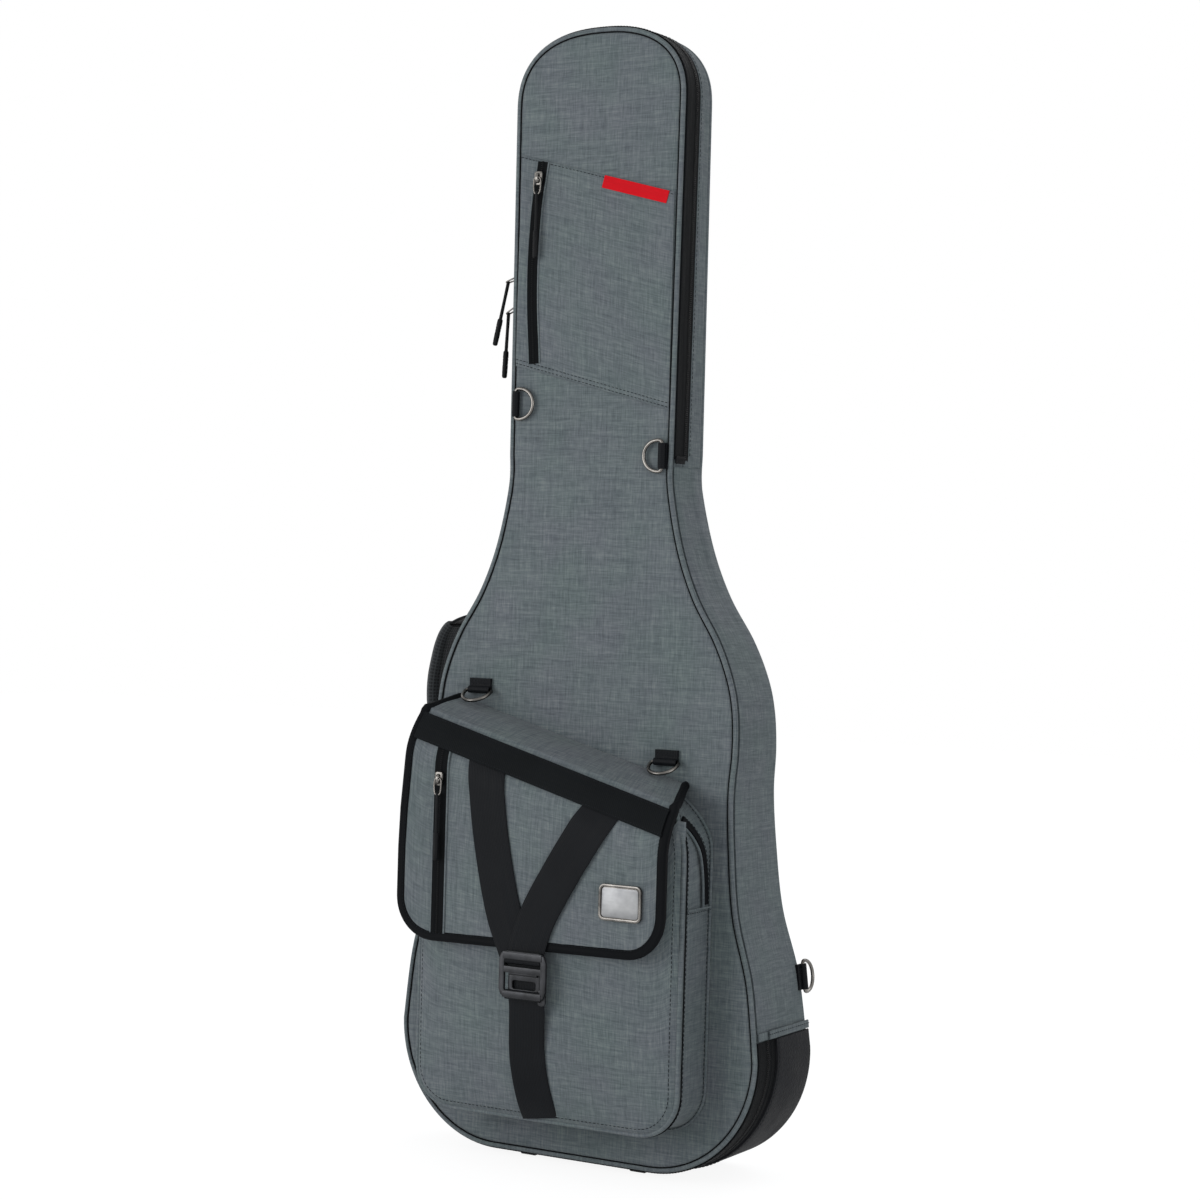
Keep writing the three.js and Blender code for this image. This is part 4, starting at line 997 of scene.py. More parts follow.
@dataclass
class Panels:
    """Front and back faces, their piping, and the padding and lining inside."""

    shop: Workshop
    cloth: float = 4.6
    lining: float = 8.5
    gap: float = 0.4
    columns: int = 61

    def face_y(self, x: Array, z: Array) -> Array:
        """Returns: depth of the front panel's face away from its edge."""
        return -0.45 * soft(x, z, 11, 170)

    def grid(self, inset: float, depth: Callable[[Array, Array, Array], Array], step: float = 4.0) -> Array:
        """Points of a panel.

        Args:
            inset: edge of the panel, in from the outline.
            depth: gives y from x, z and the distance to the edge.
            step: spacing of the rows.

        Returns:
            [rows, columns, 3].
        """
        half = SHAPE.inset_half(inset, step)
        rows = half[int(np.argmax(half[:, 1] > half[0, 1] + 0.05)) - 1 : -1]
        x = rows[:, :1] * eased(self.columns)
        z = np.repeat(rows[:, 1:], self.columns, axis=1)
        flat = np.stack([x.ravel(), z.ravel()], axis=1)
        edge = distance_to(flat, SHAPE.loop(inset, 9.0)).reshape(x.shape)
        return points(x, depth(x, z, edge), z)

    def make(self) -> None:
        """Builds the panels."""

        def front(x: Array, z: Array, edge: Array) -> Array:
            """Returns: depth of the front face, rolled in at the piping and puckered there."""
            roll = 2.7 * np.clip(1 - edge / 7, 0, 1) ** 2
            return self.face_y(x, z) + roll + 0.3 * soft(x, z, 5, 13) * np.exp(-edge / 9)

        def rear(x: Array, z: Array, edge: Array) -> Array:
            """Returns: depth of the back face, rolled in at its edge."""
            roll = 3.0 * np.clip(1 - edge / 8, 0, 1) ** 2
            return SHAPE.back(z) + 0.4 * soft(x, z, 21, 160) - roll - 0.4

        panel = backed(self.grid(3.7, front), self.cloth - 0.2)
        self.shop.add("front_panel", panel, Look.CANVAS, "lid", "lid_panel", fill=0.8)
        self.edging("front_piping", SHAPE.loop(2.3, 3.0), 2.35, round_section(2.35), Look.CANVAS, "lid", "lid_piping")
        # A thin black cord just inside the piping: a painted shadow, standing for the shade in the groove beside the
        # piping.
        self.edging("front_piping_painted_shadow", SHAPE.loop(4.75, 3.0), 1.15, round_section(0.75, 6), Look.TAPE, "lid")
        grid = self.grid(1.6, rear, 6.0)
        panel = backed(grid, SHAPE.back(grid[..., 2]) - self.cloth + 0.2)
        self.shop.add("back_face", panel, Look.SIDE, "shell", "back_panel", slot=Slot.CANVAS, fill=0.8)
        loop = SHAPE.loop(1.6, 3.5)
        self.edging("back_piping", loop, SHAPE.back(loop[:, 1]) - 2.6, round_section(2.35, 10), Look.CANVAS, "shell")
        self.make_lining()

    def edging(self, name: str, loop: Array, y: object, section: Array, look: Look, body: str, *nodes: str) -> None:
        """Builds a cord round a panel, at one depth or one per point."""
        form = sweep(points(loop[:, 0], y, loop[:, 1]), section, FRONT, True)
        self.shop.add(name, form, look, body, *nodes, slot=Slot.CANVAS)

    def make_lining(self) -> None:
        """Builds the quilted padding of the lid and of the back."""

        def quilt(z: Array, edge: Array) -> Array:
            """Returns: height of the stitched channels with their rolled edge."""
            channel = np.abs(np.sin(np.pi * (z - 40) / 95))
            swell = 0.55 + 0.45 * np.clip(channel * 5, 0, 1) ** 0.5
            return 1.5 + self.lining * (np.clip(edge / 9, 0, 1) ** 0.5 * swell)

        lid = self.grid(10.3 + self.gap, lambda x, z, edge: self.cloth + quilt(z, edge), 6.0)
        form = backed(lid, self.cloth + self.gap)
        self.shop.add("lid_padding", form, Look.PLUSH, "lid", "lid_foam", "lid_lining", fill=0.75)
        back = self.grid(12.3 + self.gap, lambda x, z, edge: SHAPE.back(z) - self.cloth - quilt(z, edge), 6.0)
        form = backed(back, SHAPE.back(back[..., 2]) - self.cloth - self.gap)
        self.shop.add("back_padding", form, Look.PLUSH, "shell", "back_foam", "back_lining", fill=0.75)


@dataclass
class Sides:
    """Gussets of the lid and the shell, the hinge cloth, the zip tape with its teeth, and the boot."""

    shop: Workshop
    tape: float = 1.0
    boot_front: float = 37.0
    boot: float = 2.4

    def wall(
        self,
        path: Array,
        near: float,
        rear: Callable[[float], float],
        thick: float,
        relief: float,
        closed: bool = False,
    ) -> Form:
        """A padded wall along the outline.

        Args:
            path: [x, z] points.
            near: y of its front edge.
            rear: y of its rear edge at a height.
            thick: its thickness.
            relief: how far its outer face swells.
            closed: whether the path is a loop.

        Returns:
            The form.
        """
        along = unit(np.roll(path, -1, axis=0) - np.roll(path, 1, axis=0)) if closed else heading(path)
        rings = []
        for (x, z), (ax, az), s in zip(path, along, lengths(path)):
            far = rear(z)
            outer = [(0.0, y) for y in np.linspace(near + 0.8, far - 0.8, 10)]
            inner = [(thick, y) for y in np.linspace(far - 0.8, near + 0.8, 4)]
            ring = []
            for inset, y in [(0.5, near), *outer, (0.5, far), (thick - 0.5, far), *inner, (thick - 0.5, near)]:
                if inset == 0:
                    middle = math.sin(math.pi * min(1.0, max(0.0, (y - near) / (far - near))))
                    inset = -relief * middle * (0.5 + 0.5 * soft(y * 2.2, s, 31, 90))
                ring.append((x - az * inset, y, z + ax * inset))
            rings.append(ring)
        return loft(rings, closed)

    def make(self) -> None:
        """Builds the walls, hinge, zip and boot."""
        form = self.wall(SHAPE.loop(0.0), 5.2, lambda z: 21.8, 9.8, 0.0, True)
        self.shop.add("lid_side", form, Look.SIDE, "lid", "lid_band", fill=0.85)
        half = SHAPE.inset_half(0.0)
        below, above = SHAPE.neck_z - 0.15, SHAPE.neck_z + 0.15
        low = np.vstack([half[half[:, 1] < below - 0.5], [(SHAPE.side_at(below), below)]])
        low[0, 0] = 0.2
        high = np.vstack([[(SHAPE.side_at(above), above)], half[half[:, 1] > above + 0.5]])
        arch = np.vstack([high, high[-2::-1] * (-1, 1)])
        for name, path, relief in (("right", low, 0.2), ("left", (low * (-1, 1))[::-1], 1.0), ("neck", arch, 1.0)):
            form = self.wall(path, 22.2, lambda z: SHAPE.back(z) - 4.9, 12.0, relief)
            self.shop.add(f"side_{name}", form, Look.SIDE, "shell", f"gusset_{name}", fill=0.85)
        self.make_hinge(half)
        self.make_zip()
        self.make_zip_ends()
        self.make_boot(half[half[:, 1] < SHAPE.boot_top])
        self.make_boot_hem()

    def make_hinge(self, half: Array) -> None:
        """Builds the uncut cloth down the right side, between the shell and the lid."""
        path = half[(half[:, 1] > SHAPE.boot_top + 1) & (half[:, 1] < SHAPE.zip_high - 2)]
        along = heading(path)
        share = np.linspace(0, 1, 26)
        outer = np.zeros((len(path), 26, 3))
        for i, ((x, z), (ax, az)) in enumerate(zip(path, along)):
            y = np.linspace(5.0, SHAPE.back(z) - 2.6, 26)
            waist = math.exp(-((z - 600) / 75) ** 2)
            folds = 0.5 + 0.5 * soft(y * 2.0, z, 41, 95)
            crease = np.maximum(0, np.sin(share * 9.0 + z * 0.012)) * waist
            out = 0.9 + (0.9 * folds + 1.5 * crease) * np.sin(np.pi * share) ** 0.7
            outer[i] = points(x + az * out, y, z - ax * out)
        inner = outer - 0.5 * points(along[:, 1], 0.0, -along[:, 0])[:, None]
        run = lengths(path)[-1] * MM
        widths = np.linalg.norm(np.diff(outer, axis=1), axis=2).sum(axis=1) * MM
        cut = Cut((float(widths.max()), run), min(run * float(widths.mean()), float(widths.max()) * run))
        x = SHAPE.side_at(400)
        bend = Bend("lid", "shell", np.array([x, 9.0, 400]), np.array([x, 40.0, 400]))
        self.shop.add("hinge_cloth", shell(outer, inner), Look.SIDE, bend, cut=cut)

    def make_zip(self) -> None:
        """Builds both halves of the zip tape, their teeth and hems, from low on the right round to the neck."""
        half = SHAPE.inset_half(0.0, 3.0)
        foot = half[half[:, 1] <= SHAPE.zip_low][::-1]
        top = half[half[:, 1] >= SHAPE.zip_high][::-1]
        path = np.vstack([foot, half[1:] * (-1, 1), top[1:]])
        facing = -wall_facing(path)
        halves = (("lid", 3.4, 21.6, 20.9, 4.6), ("shell", 22.4, 29.6, 23.1, 28.4))
        for body, near, far, teeth, seam in halves:
            centre = on_wall(path, (near + far) / 2, 0.0) + facing * (0.3 + self.tape / 2)
            form = sweep(centre, flat_section(far - near, self.tape, 0.4, 3), facing)
            self.shop.add(f"zip_cloth_{body}", form, Look.TAPE, body, f"zip_tape_{body}")
            for name, beads, y, out in (("teeth", TEETH, teeth, 0.4), ("stitches", FINE_STITCH, seam, 0.35)):
                row = on_wall(path, y, 0.0) + facing * (out + self.tape)
                self.shop.sew(f"zip_{name}_{body}", beads, [BeadLine(row, facing)], body, Slot.ZIP_TAPE)
        above = int(np.argmax((path[:, 1] > SHAPE.boot_top + 1) & (path[:, 0] < 0)))
        for name, part, look in (("zip_foot_cloth", path[:above], Look.TAPE), ("zip_hem", path[above:-2], Look.SIDE)):
            facing = -wall_facing(part)
            form = sweep(on_wall(part, 33.2, 0.0) + facing * 0.9, flat_section(8.4, 1.6, 0.7, 3), facing)
            self.shop.add(name, form, look, "shell")
        rows = [BeadLine(on_wall(part, 31.2, 0.0) + facing * 1.8, facing)]
        self.shop.sew("zip_hem_stitches", STITCH, rows, "shell", Slot.SHADE_CANVAS)

    def make_zip_ends(self) -> None:
        """Builds the webbing tabs that close the zip's two ends."""
        ends = (("low", SHAPE.boot_top + 1.5, Look.SIDE), ("high", SHAPE.zip_high + 2.0, Look.BINDING))
        for name, z, look in ends:
            x, out = SHAPE.wall(z)
            form = sweep(points(x, np.linspace(4.5, 21.4, 6), z) + 2.1 * out, flat_section(7, 1.3, 0.5), out)
            self.shop.add(f"zip_end_{name}", form, look, "lid", slot=Slot.ZIP_TAPE)

    def make_boot(self, low: Array) -> None:
        """Builds the rubber boot and the two skids."""
        path = np.vstack([low[:0:-1], low * (-1, 1)])
        facing = -wall_facing(path)
        near, skin = self.boot_front + 0.5, self.boot
        rings = []
        for (x, z), out in zip(path, facing):
            far = SHAPE.back(z) + 0.6
            section = [(1.1, near), (1.1 + skin, near + 0.2)]
            section += [(1.4 + skin, y) for y in np.linspace(near + 1.5, far - 4, 9)]
            section += [(0.9 + skin, far - 1.4), (skin - 0.4, far - 0.3), (-4, far), (-4, far - 1.6), (1.1, far - 4)]
            rings.append([(x + out[0] * o, y, z + out[2] * o) for o, y in section])
        self.shop.add("boot_skin", loft(rings), Look.RUBBER, "shell", "boot", crease=50)
        rails = ((-9, 5.6), (-9, 1.4), (-7.6, 0.0), (7.6, 0.0), (9, 1.4), (9, 5.6))
        stations = [(23.4, -1.4), (24.6, 0)]
        for y in (40, 67, 94):
            stations += [(y, 0), (y + 1, -0.8), (y + 4, -0.8), (y + 5, 0)]
        stations += [(110.5, 0), (112, -1.4)]
        for side, name in ((-60, "skid_left"), (60, "skid_right")):
            rings = [[(side + x + grow * np.sign(x), y, max(z, -grow * 0.8) if z < 2 else z) for x, z in rails]
                     for y, grow in stations]
            self.shop.add(name, loft(rings), Look.MOULDED, "shell", slot=Slot.RUBBER)
        hem = [BeadLine(on_wall(path, self.boot_front + 3.4, 0.0) + facing * (1.5 + skin), facing)]
        z = SHAPE.boot_top - 3
        for side in (-1, 1):
            x, out = SHAPE.wall(z, side)
            y = np.linspace(self.boot_front + 3, SHAPE.back(SHAPE.boot_top) - 4, 12)
            hem.append(BeadLine(points(x, y, z) + out * (1.5 + skin), out))
        self.shop.sew("boot_stitches", STITCH, hem, "shell", Slot.RUBBER)

    def make_boot_hem(self) -> None:
        """Builds the stitched canvas hem over the boot's top edge."""
        hems, rows = [], []
        z = SHAPE.boot_top + 1.5
        for side in (-1, 1):
            x, out = SHAPE.wall(z, side)
            line = points(x, np.linspace(22.8, SHAPE.back(SHAPE.boot_top) - 2.0, 16), z)
            hems.append(sweep(line + out * 3.6, flat_section(7.5, 1.7, 0.7, 3), out))
            rows.append(BeadLine(line + out * 4.5 + (0, 0, 0.8), out))
        self.shop.add("boot_top_hem", hems[0].joined(hems[1]), Look.SIDE, "shell")
        self.shop.sew("boot_hem_stitches", STITCH, rows, "shell", Slot.SHADE_CANVAS)


# --------------- pockets and flap


@dataclass
class NeckPocket:
    """Flat pocket on the neck with slanted seams, a curved zip and a blank label."""

    shop: Workshop
    panels: Panels
    high: float = 934.0
    low: float = 733.0
    slope: float = 0.26
    edge: float = 5.9
    zip_line: tuple = ((-58, 0, 947.2), (-64, 0, 900.4), (-66, 0, 829.7), (-62, 0, 756.2))
    label_x: float = 43.0
    label_size: tuple = (69.0, 11.5)
    label_drop: float = 6.5

    def surface(self, x: Array, z: Array) -> Array:
        """Returns: depth of the pocket's face."""
        share = np.clip((z - self.low + self.slope * x) / (self.high - self.low), 0, 1)
        puff = np.sin(np.pi * share) ** 0.8 * np.clip(1 - (np.abs(x) / 84) ** 4, 0, 1)
        return self.panels.face_y(x, z) - 1.5 - 1.0 * puff - 0.25 * soft(x, z, 17, 46)

    def make(self) -> None:
        """Builds the pocket, its seams, zip and label."""
        share = eased(45)
        lift = np.concatenate([[0, 0.006, 0.014], np.linspace(0.03, 0.97, 48), [0.986, 0.994, 1]])[:, None]
        half, tall = SHAPE.side_at(800) - self.edge, self.high - self.low
        x = np.tile(share * half, (len(lift), 1))
        z = self.low - self.slope * x + lift * tall
        tuck = 1.1 * np.clip(1 - np.minimum(lift, 1 - lift) / 0.014, 0, 1) ** 2
        side = np.clip(1 - (1 - np.abs(share)) / 0.05, 0, 1) ** 2
        outer = points(x, self.surface(x, z) + tuck + side, z)
        form = backed(outer, np.minimum(outer[..., 1] + 1.2, -0.05 + self.panels.face_y(x, z)))
        flat = (2 * half * MM * math.hypot(1, self.slope), tall * MM)
        cut = Cut(flat, 2 * half * tall * MM * MM, ("front_panel",))
        self.shop.add("neck_pocket_cloth", form, Look.CANVAS, "lid", "neck_pocket_panel", cut=cut)
        self.make_zip()
        self.make_label()
        rows = []
        for level in (self.high - 2.6, self.low + 2.6, self.low + 6.4):
            xs = np.linspace(-half + 2, half - 2, 60)
            zs = level - self.slope * xs
            rows.append(BeadLine(points(xs, self.surface(xs, zs) - 0.05, zs), FRONT))
        self.shop.sew("neck_pocket_stitches", STITCH, rows, "lid", Slot.CANVAS)

    def make_zip(self) -> None:
        """Builds the curved zip with its teeth and hems."""
        route = smooth_line(self.zip_line, 4.0)[::-1]
        route[:, 1] = self.surface(route[:, 0], route[:, 2]) - 0.55
        form = sweep(route, flat_section(14, 0.9, 0.4, 2), FRONT)
        self.shop.add("neck_pocket_tape", form, Look.TAPE, "lid", "neck_pocket_zip")
        self.shop.sew("neck_pocket_teeth", TEETH, [BeadLine(route + FRONT * 0.5, FRONT)], "lid", Slot.ZIP_TAPE)
        across = unit(np.cross(heading(route), FRONT))
        form = twins(route + FRONT * 0.1, across * 6.2, round_section(0.9, 8, 0.7), FRONT)
        self.shop.add("neck_pocket_zip_hems", form, Look.CANVAS, "lid")

    def make_label(self) -> None:
        """Builds the blank red label sewn under the top seam."""
        width, height = self.label_size
        px = np.linspace(-width / 2, width / 2, 24)[:, None]
        pz = np.linspace(-height / 2, height / 2, 5)
        x = self.label_x + px + pz * self.slope
        z = self.high - (self.label_x + px) * self.slope - self.label_drop + pz
        outer = points(x, self.surface(x, z) - 0.85 - 0.25 * soft(x, z, 8, 30), z)
        self.shop.add("red_label_patch", backed(outer, outer[..., 1] + 0.6), Look.LABEL, "lid", "blank_label")


@dataclass
class FrontPocket:
    """The big front pocket: wall, piped rim, swelling face and side opening."""

    shop: Workshop
    half: float = 141.0
    low: float = 52.0
    corner: float = 40.0
    depth: float = 50.0
    seam: float = 397.5
    slope: float = 0.277
    mouth: float = 50.0
    dip: float = 4.0
    crown: float = 17.0
    face: float = 4.7
    straight: float = 1000.0

    def seam_z(self, x: Array) -> Array:
        """Returns: height of the flap's seam."""
        return self.seam - self.slope * np.asarray(x, float)

    def mouth_z(self, x: Array) -> Array:
        """Returns: height of the mouth's front edge."""
        corner = 30 * np.clip((np.abs(x) - 108) / 26, 0, 1) ** 2
        return self.seam_z(x) - self.mouth - self.dip * (1 - (np.asarray(x) / self.half) ** 2) + corner

    def top_z(self, side: float, y: Array) -> Array:
        """Returns: height of a side wall's top under the flap's strip."""
        return self.seam_z(side * self.half) + 9 / 55 * np.asarray(y, float) - 3.4

    def drawn_in(self, side: float, y: Array, z: Array) -> Array:
        """Returns: how far the wall leans in near its top, to meet the flap's strip."""
        near = np.clip((z - self.top_z(side, y) + 45) / 45, 0, 1) ** 2
        return near * (6.0 if side < 0 else 10.0 + 20.0 * (1 + np.asarray(y, float) / self.depth))

    def face_y(self, x: Array, z: Array) -> Array:
        """Returns: depth of the swelling face, without its edge roll."""
        middle, half = (self.low + self.mouth_z(0)) / 2, (self.mouth_z(0) - self.low) / 2
        across = np.minimum(1, np.abs(np.asarray(x) / self.half) ** 3)
        down = np.minimum(1, np.abs((z - middle) / half) ** 3)
        folds = 0.9 * soft(x * 1.6, z * 0.8, 61, 120)
        return -self.depth - self.face - (self.crown + folds) * (1 - across) * (1 - down)

    def edge_y(self, x: Array, z: Array) -> Array:
        """Returns: depth of the face with its edge rolled back to the piping."""
        line = self.run(0.0)
        flat = np.stack([np.ravel(x), np.ravel(z)], axis=1)
        edge = distance_to(flat, line[line[:, 1] < 600], False).reshape(np.shape(x))
        roll = 4.2 * np.clip(1 - (edge - 1.5) / 9, 0, 1) ** 2
        return self.face_y(x, z) + roll + 0.25 * soft(x, z, 3, 14) * np.exp(-edge / 9)

    def run(self, inset: float) -> Array:
        """Returns: [x, z] round the pocket's U from top left to top right, on sides of one straight length."""
        half, low, radius = self.half - inset, self.low + inset, self.corner - inset
        turn = np.linspace(0, math.pi / 2, 14)
        arc = np.stack([half - radius + radius * np.sin(turn), low + radius - radius * np.cos(turn)], axis=1)
        left = np.stack([np.full(52, -half), np.linspace(1, 0, 53)[:-1] * self.straight + low + radius], axis=1)
        bottom = resample(np.vstack([arc[:1] * (-1, 1), arc[:1]]), 4.0)[1:-1]
        return np.vstack([left, (arc * (-1, 1))[::-1], bottom, arc, left[::-1] * (-1, 1)])

    def wall_point(self, x: float, z: float, y: float) -> Triple:
        """Returns: a place on the wall; heights over the corner are shares of its straight side."""
        base = self.low + self.corner
        if z <= base:
            return x, y, z
        side = math.copysign(1, x)
        height = base + (z - base) / self.straight * (float(self.top_z(side, y)) - base)
        return x - side * float(self.drawn_in(side, y, height)), y, height

    def make(self) -> None:
        """Builds the pocket."""
        outer_run, inner_run = self.run(0.0), self.run(4.6)
        depths = np.linspace(-0.4, -self.depth, 15)
        outer = np.zeros((len(outer_run), len(depths), 3))
        inner = outer.copy()
        rows = zip(outer_run, inner_run, wall_facing(outer_run), lengths(outer_run))
        for i, ((x, z), (ix, iz), out, s) in enumerate(rows):
            for k, y in enumerate(depths):
                swell = math.sin(math.pi * -y / self.depth) * (1.3 + 0.9 * soft(y * 2.0, s * 0.5, 71, 80))
                groove = -math.exp(-(((y + self.depth) / 3.0) ** 2)) - 0.8 * math.exp(-((y / 3.0) ** 2))
                outer[i, k] = np.array(self.wall_point(x, z, y)) - out * (swell + groove)
                inner[i, k] = self.wall_point(ix, iz, y)
        self.shop.add("pocket_wall", shell(outer, inner), Look.SIDE, "lid", "pocket_gusset", fill=0.8)
        self.make_rim()
        self.make_face()
        self.make_side_opening()

    def rim_path(self, inset: float, y: float, below: Optional[float] = None) -> Array:
        """Returns: [n, 3] points along the rim, kept a distance below the mouth if one is given."""
        path = resample(np.array([self.wall_point(x, z, y) for x, z in self.run(inset)]), 3.5)
        return path if below is None else path[path[:, 2] < self.mouth_z(path[:, 0]) - below]

    def make_rim(self) -> None:
        """Builds the two piped edges, the thin black cords of painted shadow either side of the rim's piping, and their
        stitches.
        """
        form = sweep(self.rim_path(1.4, -self.depth - 0.6), round_section(2.3), FRONT)
        self.shop.add("pocket_rim_piping", form, Look.CANVAS, "lid")
        # Thin black cords inside and outside the rim's piping: painted shadow lines, standing for the shade in the
        # grooves beside the piping.
        seams = [sweep(self.rim_path(inset, y - self.depth, 3), round_section(0.7, 6), FRONT)
                 for inset, y in ((4.3, -2.1), (-0.9, 3.0))]
        self.shop.add("pocket_rim_painted_shadows", seams[0].joined(seams[1]), Look.TAPE, "lid", slot=Slot.CANVAS)
        form = sweep(self.rim_path(-1.2, -1.9), round_section(1.7, 10), FRONT)
        self.shop.add("pocket_foot_piping", form, Look.SIDE, "lid")
        rows = []
        for y in (-self.depth + 4.6, -5.2):
            path = self.rim_path(-1.0, y)
            out = unit(np.cross(heading(path), FRONT))
            out = out * np.sign(np.sum(out * (path - path.mean(axis=0)), axis=1, keepdims=True))
            rows.append(BeadLine(path + out * 0.2, out))
        inside = self.rim_path(7.4, -self.depth, 4)
        inside[:, 1] = self.edge_y(inside[:, 0], inside[:, 2]) - 0.15
        rows.append(BeadLine(inside, FRONT))
        self.shop.sew("pocket_stitches", STITCH, rows, "lid", Slot.CANVAS)

    def make_face(self) -> None:
        """Builds the face with its bound top edge."""
        turn = np.linspace(0, math.pi / 2, 14)
        inset = 1.6
        half, radius = self.half - inset, self.corner - inset
        widths = np.concatenate([half - radius + radius * np.sin(turn), np.full(58, half)])
        heights = np.concatenate([self.low + inset + radius * (1 - np.cos(turn)), np.linspace(0, 1, 59)[1:]])
        base, upper = self.low + self.corner, len(turn)
        x = widths[:, None] * eased(63)
        z = np.tile(heights[:, None], (1, 63))
        z[upper:] = base + z[upper:] * (self.mouth_z(x[upper:]) - base)
        outer = points(x, self.edge_y(x, z), z)
        form = backed(outer, outer[..., 1] + 3.2)
        self.shop.add("pocket_face_cloth", form, Look.CANVAS, "lid", "pocket_face", fill=0.5)
        xs = np.linspace(-self.half + 16, self.half - 16, 60)
        edge = points(xs, self.edge_y(xs, self.mouth_z(xs)) + 1.6, self.mouth_z(xs))
        form = sweep(edge, flat_section(5.4, 8, 2.4), (0, 0, 1))
        self.shop.add("pocket_mouth_binding", form, Look.BINDING, "lid")

    def make_side_opening(self) -> None:
        """Builds the bound, curved opening and the cross seam on the pocket's right wall."""
        skin = self.half + 2.2
        stops = ((-46, 341), (-41, 338), (-31, 330), (-22, 316), (-15, 294), (-12.5, 272), (-12, 262))
        path = smooth_line([(skin, y, z) for y, z in stops], 3.0)
        path[:, 0] -= self.drawn_in(1, path[:, 1], path[:, 2])
        form = sweep(path, flat_section(6.4, 2.2, 0.9, 1), RIGHT)
        self.shop.add("side_opening_binding", form, Look.BINDING, "lid")
        form = sweep(path + (-0.3, -4.6, -3.0), round_section(1.3, 8), RIGHT)
        self.shop.add("side_opening_piping", form, Look.SIDE, "lid")
        seam = points(skin + 0.1, np.linspace(-46, -4, 20), 259.0)
        self.shop.add("side_opening_seam", sweep(seam, round_section(1.0, 8, 0.8), RIGHT), Look.SIDE, "lid")
        rows = [BeadLine(seam + (0.4, 0, -2.6), RIGHT), BeadLine(path + (0.3, 4.6, 1.5), RIGHT)]
        self.shop.sew("side_opening_stitches", STITCH, rows, "lid", Slot.SHADE_CANVAS)


@dataclass
class Flap:
    """The flap: cloth over the fold, ribbed band, binding, zip, V-shaped strap, buckle and badge."""

    shop: Workshop
    pocket: FrontPocket
    half: float = 145.0
    reach: float = 55.0
    drop: float = 9.0
    thick: float = 5.0
    swell: float = 22.0
    swell_drop: float = 45.0
    low: float = 217.0
    corner: float = 35.0
    zip_x: float = -103.0
    buckle: tuple = (-4.0, 191.0)
    badge: tuple = (93.0, 265.0)

    @property
    def slope(self) -> tuple[float, float]:
        """Cosine and sine of the top strip's slope."""
        turn = math.atan(self.drop / self.reach)
        return math.cos(turn), math.sin(turn)

    @property
    def front(self) -> float:
        """Depth of the flap's front below its swell."""
        return float(self.middle(self.swell_drop)) - self.thick / 2

    def fold(self, x: float) -> Array:
        """Returns: the fold's place."""
        return np.array([x, -self.reach, float(self.fold_z(x))])

    def fold_z(self, x: Array) -> Array:
        """Returns: height of the fold."""
        return self.pocket.seam_z(x) - self.drop

    def low_z(self, x: Array) -> Array:
        """Returns: height of the flap's lower edge."""
        past = np.maximum(0, np.abs(x) - (self.half - self.corner))
        return self.low + self.corner - np.sqrt(np.maximum(0, self.corner**2 - past**2))

    def rest(self, drop: Array) -> Array:
        """Returns: share of the swell that is still to come below the fold."""
        return 1 - np.minimum(1, np.maximum(0, drop) / self.swell_drop)

    def middle(self, drop: Array) -> Array:
        """Returns: depth of the flap's middle below the fold."""
        return -self.reach - self.swell * (1 - self.rest(drop) ** 2)

    def fall(self, drop: Array) -> Array:
        """Returns: how steeply the flap's middle comes forward below the fold."""
        return 2 * self.swell * self.rest(drop) / self.swell_drop

    def narrowed(self, x: Array, drop: Array) -> Array:
        """Returns: x drawn in towards the fold and over the top strip, where the drop is below zero."""
        x, drop = np.asarray(x, float), np.asarray(drop, float)
        left = 9.0 * np.clip(1 - drop / 110, 0, 1)
        right = 13.0 + 21.0 * np.clip(-drop / self.reach, 0, 1)
        return x * (1 - np.where(x < 0, left, right) / self.half)

    def drawn(self, x: Array, drop: Array, out: float = 0.0) -> Array:
        """Returns: points a distance in front of the flap's middle, with x drawn in."""
        return self.beside(self.narrowed(x, drop), drop, out)

    def beside(self, x: Array, drop: Array, out: float) -> Array:
        """Returns: points a distance in front of the flap's middle."""
        lean = np.arctan(self.fall(drop))
        return points(x, self.middle(drop) - out * np.cos(lean), self.fold_z(x) - drop + out * np.sin(lean))

    def bend(self) -> Bend:
        """Returns: the way over the fold, from the lid to the flap."""
        ahead = np.array([-0.267 * 0.6, -0.8, -0.9637 * 0.6])
        return Bend("lid", "flap", self.fold(0.0) - ahead * 5, self.fold(0.0) + ahead * 6)

    def section(self, x: float) -> tuple[Array, Array]:
        """Returns: points of the cloth's outer and inner face at x, from the seam over the fold to the low edge."""
        half = self.thick / 2 - 0.2
        c, s = self.slope
        outer, inner = [], []
        for away in np.linspace(self.reach / c - 0.4, 4.0, 16):
            swell = math.sin(math.pi * min(1, away / 56))
            puff = swell * (2.0 * (1 - abs(x / self.half) ** 6) + 0.7 * soft(x, away, 81, 60))
            middle = self.fold(float(self.narrowed(x, -away))) + (0, away * c, away * s)
            outer.append(middle + np.array([0, -s, c]) * (half + puff))
            inner.append(middle - np.array([0, -s, c]) * half)
        start, end = math.pi / 2 + math.atan2(s, c), math.pi - math.atan(float(self.fall(0)))
        for share in (0.2, 0.4, 0.6, 0.8):
            turn = start + (end - start) * share
            arm = np.array([0, math.cos(turn), math.sin(turn)])
            outer.append(self.fold(float(self.narrowed(x, 0))) + arm * (half + 0.4))
            inner.append(self.fold(float(self.narrowed(x, 0))) - arm * half * 0.4)
        deep = float(self.fold_z(x) - self.low_z(x))
        for share in np.linspace(0, 1, 46):
            drop = 2.0 + (deep - 2.0) * share
            wave = 0.7 * soft(x, drop, 91, 95) * min(1, drop / 50) * (1 - share**4)
            pucker = 0.25 * soft(x, drop, 4, 13) * math.exp(-(deep - drop) / 12)
            outer.append(self.drawn(x, drop, half + 0.25 * wave + pucker))
            inner.append(self.drawn(x, drop, -half))
        return np.array(outer), np.array(inner)

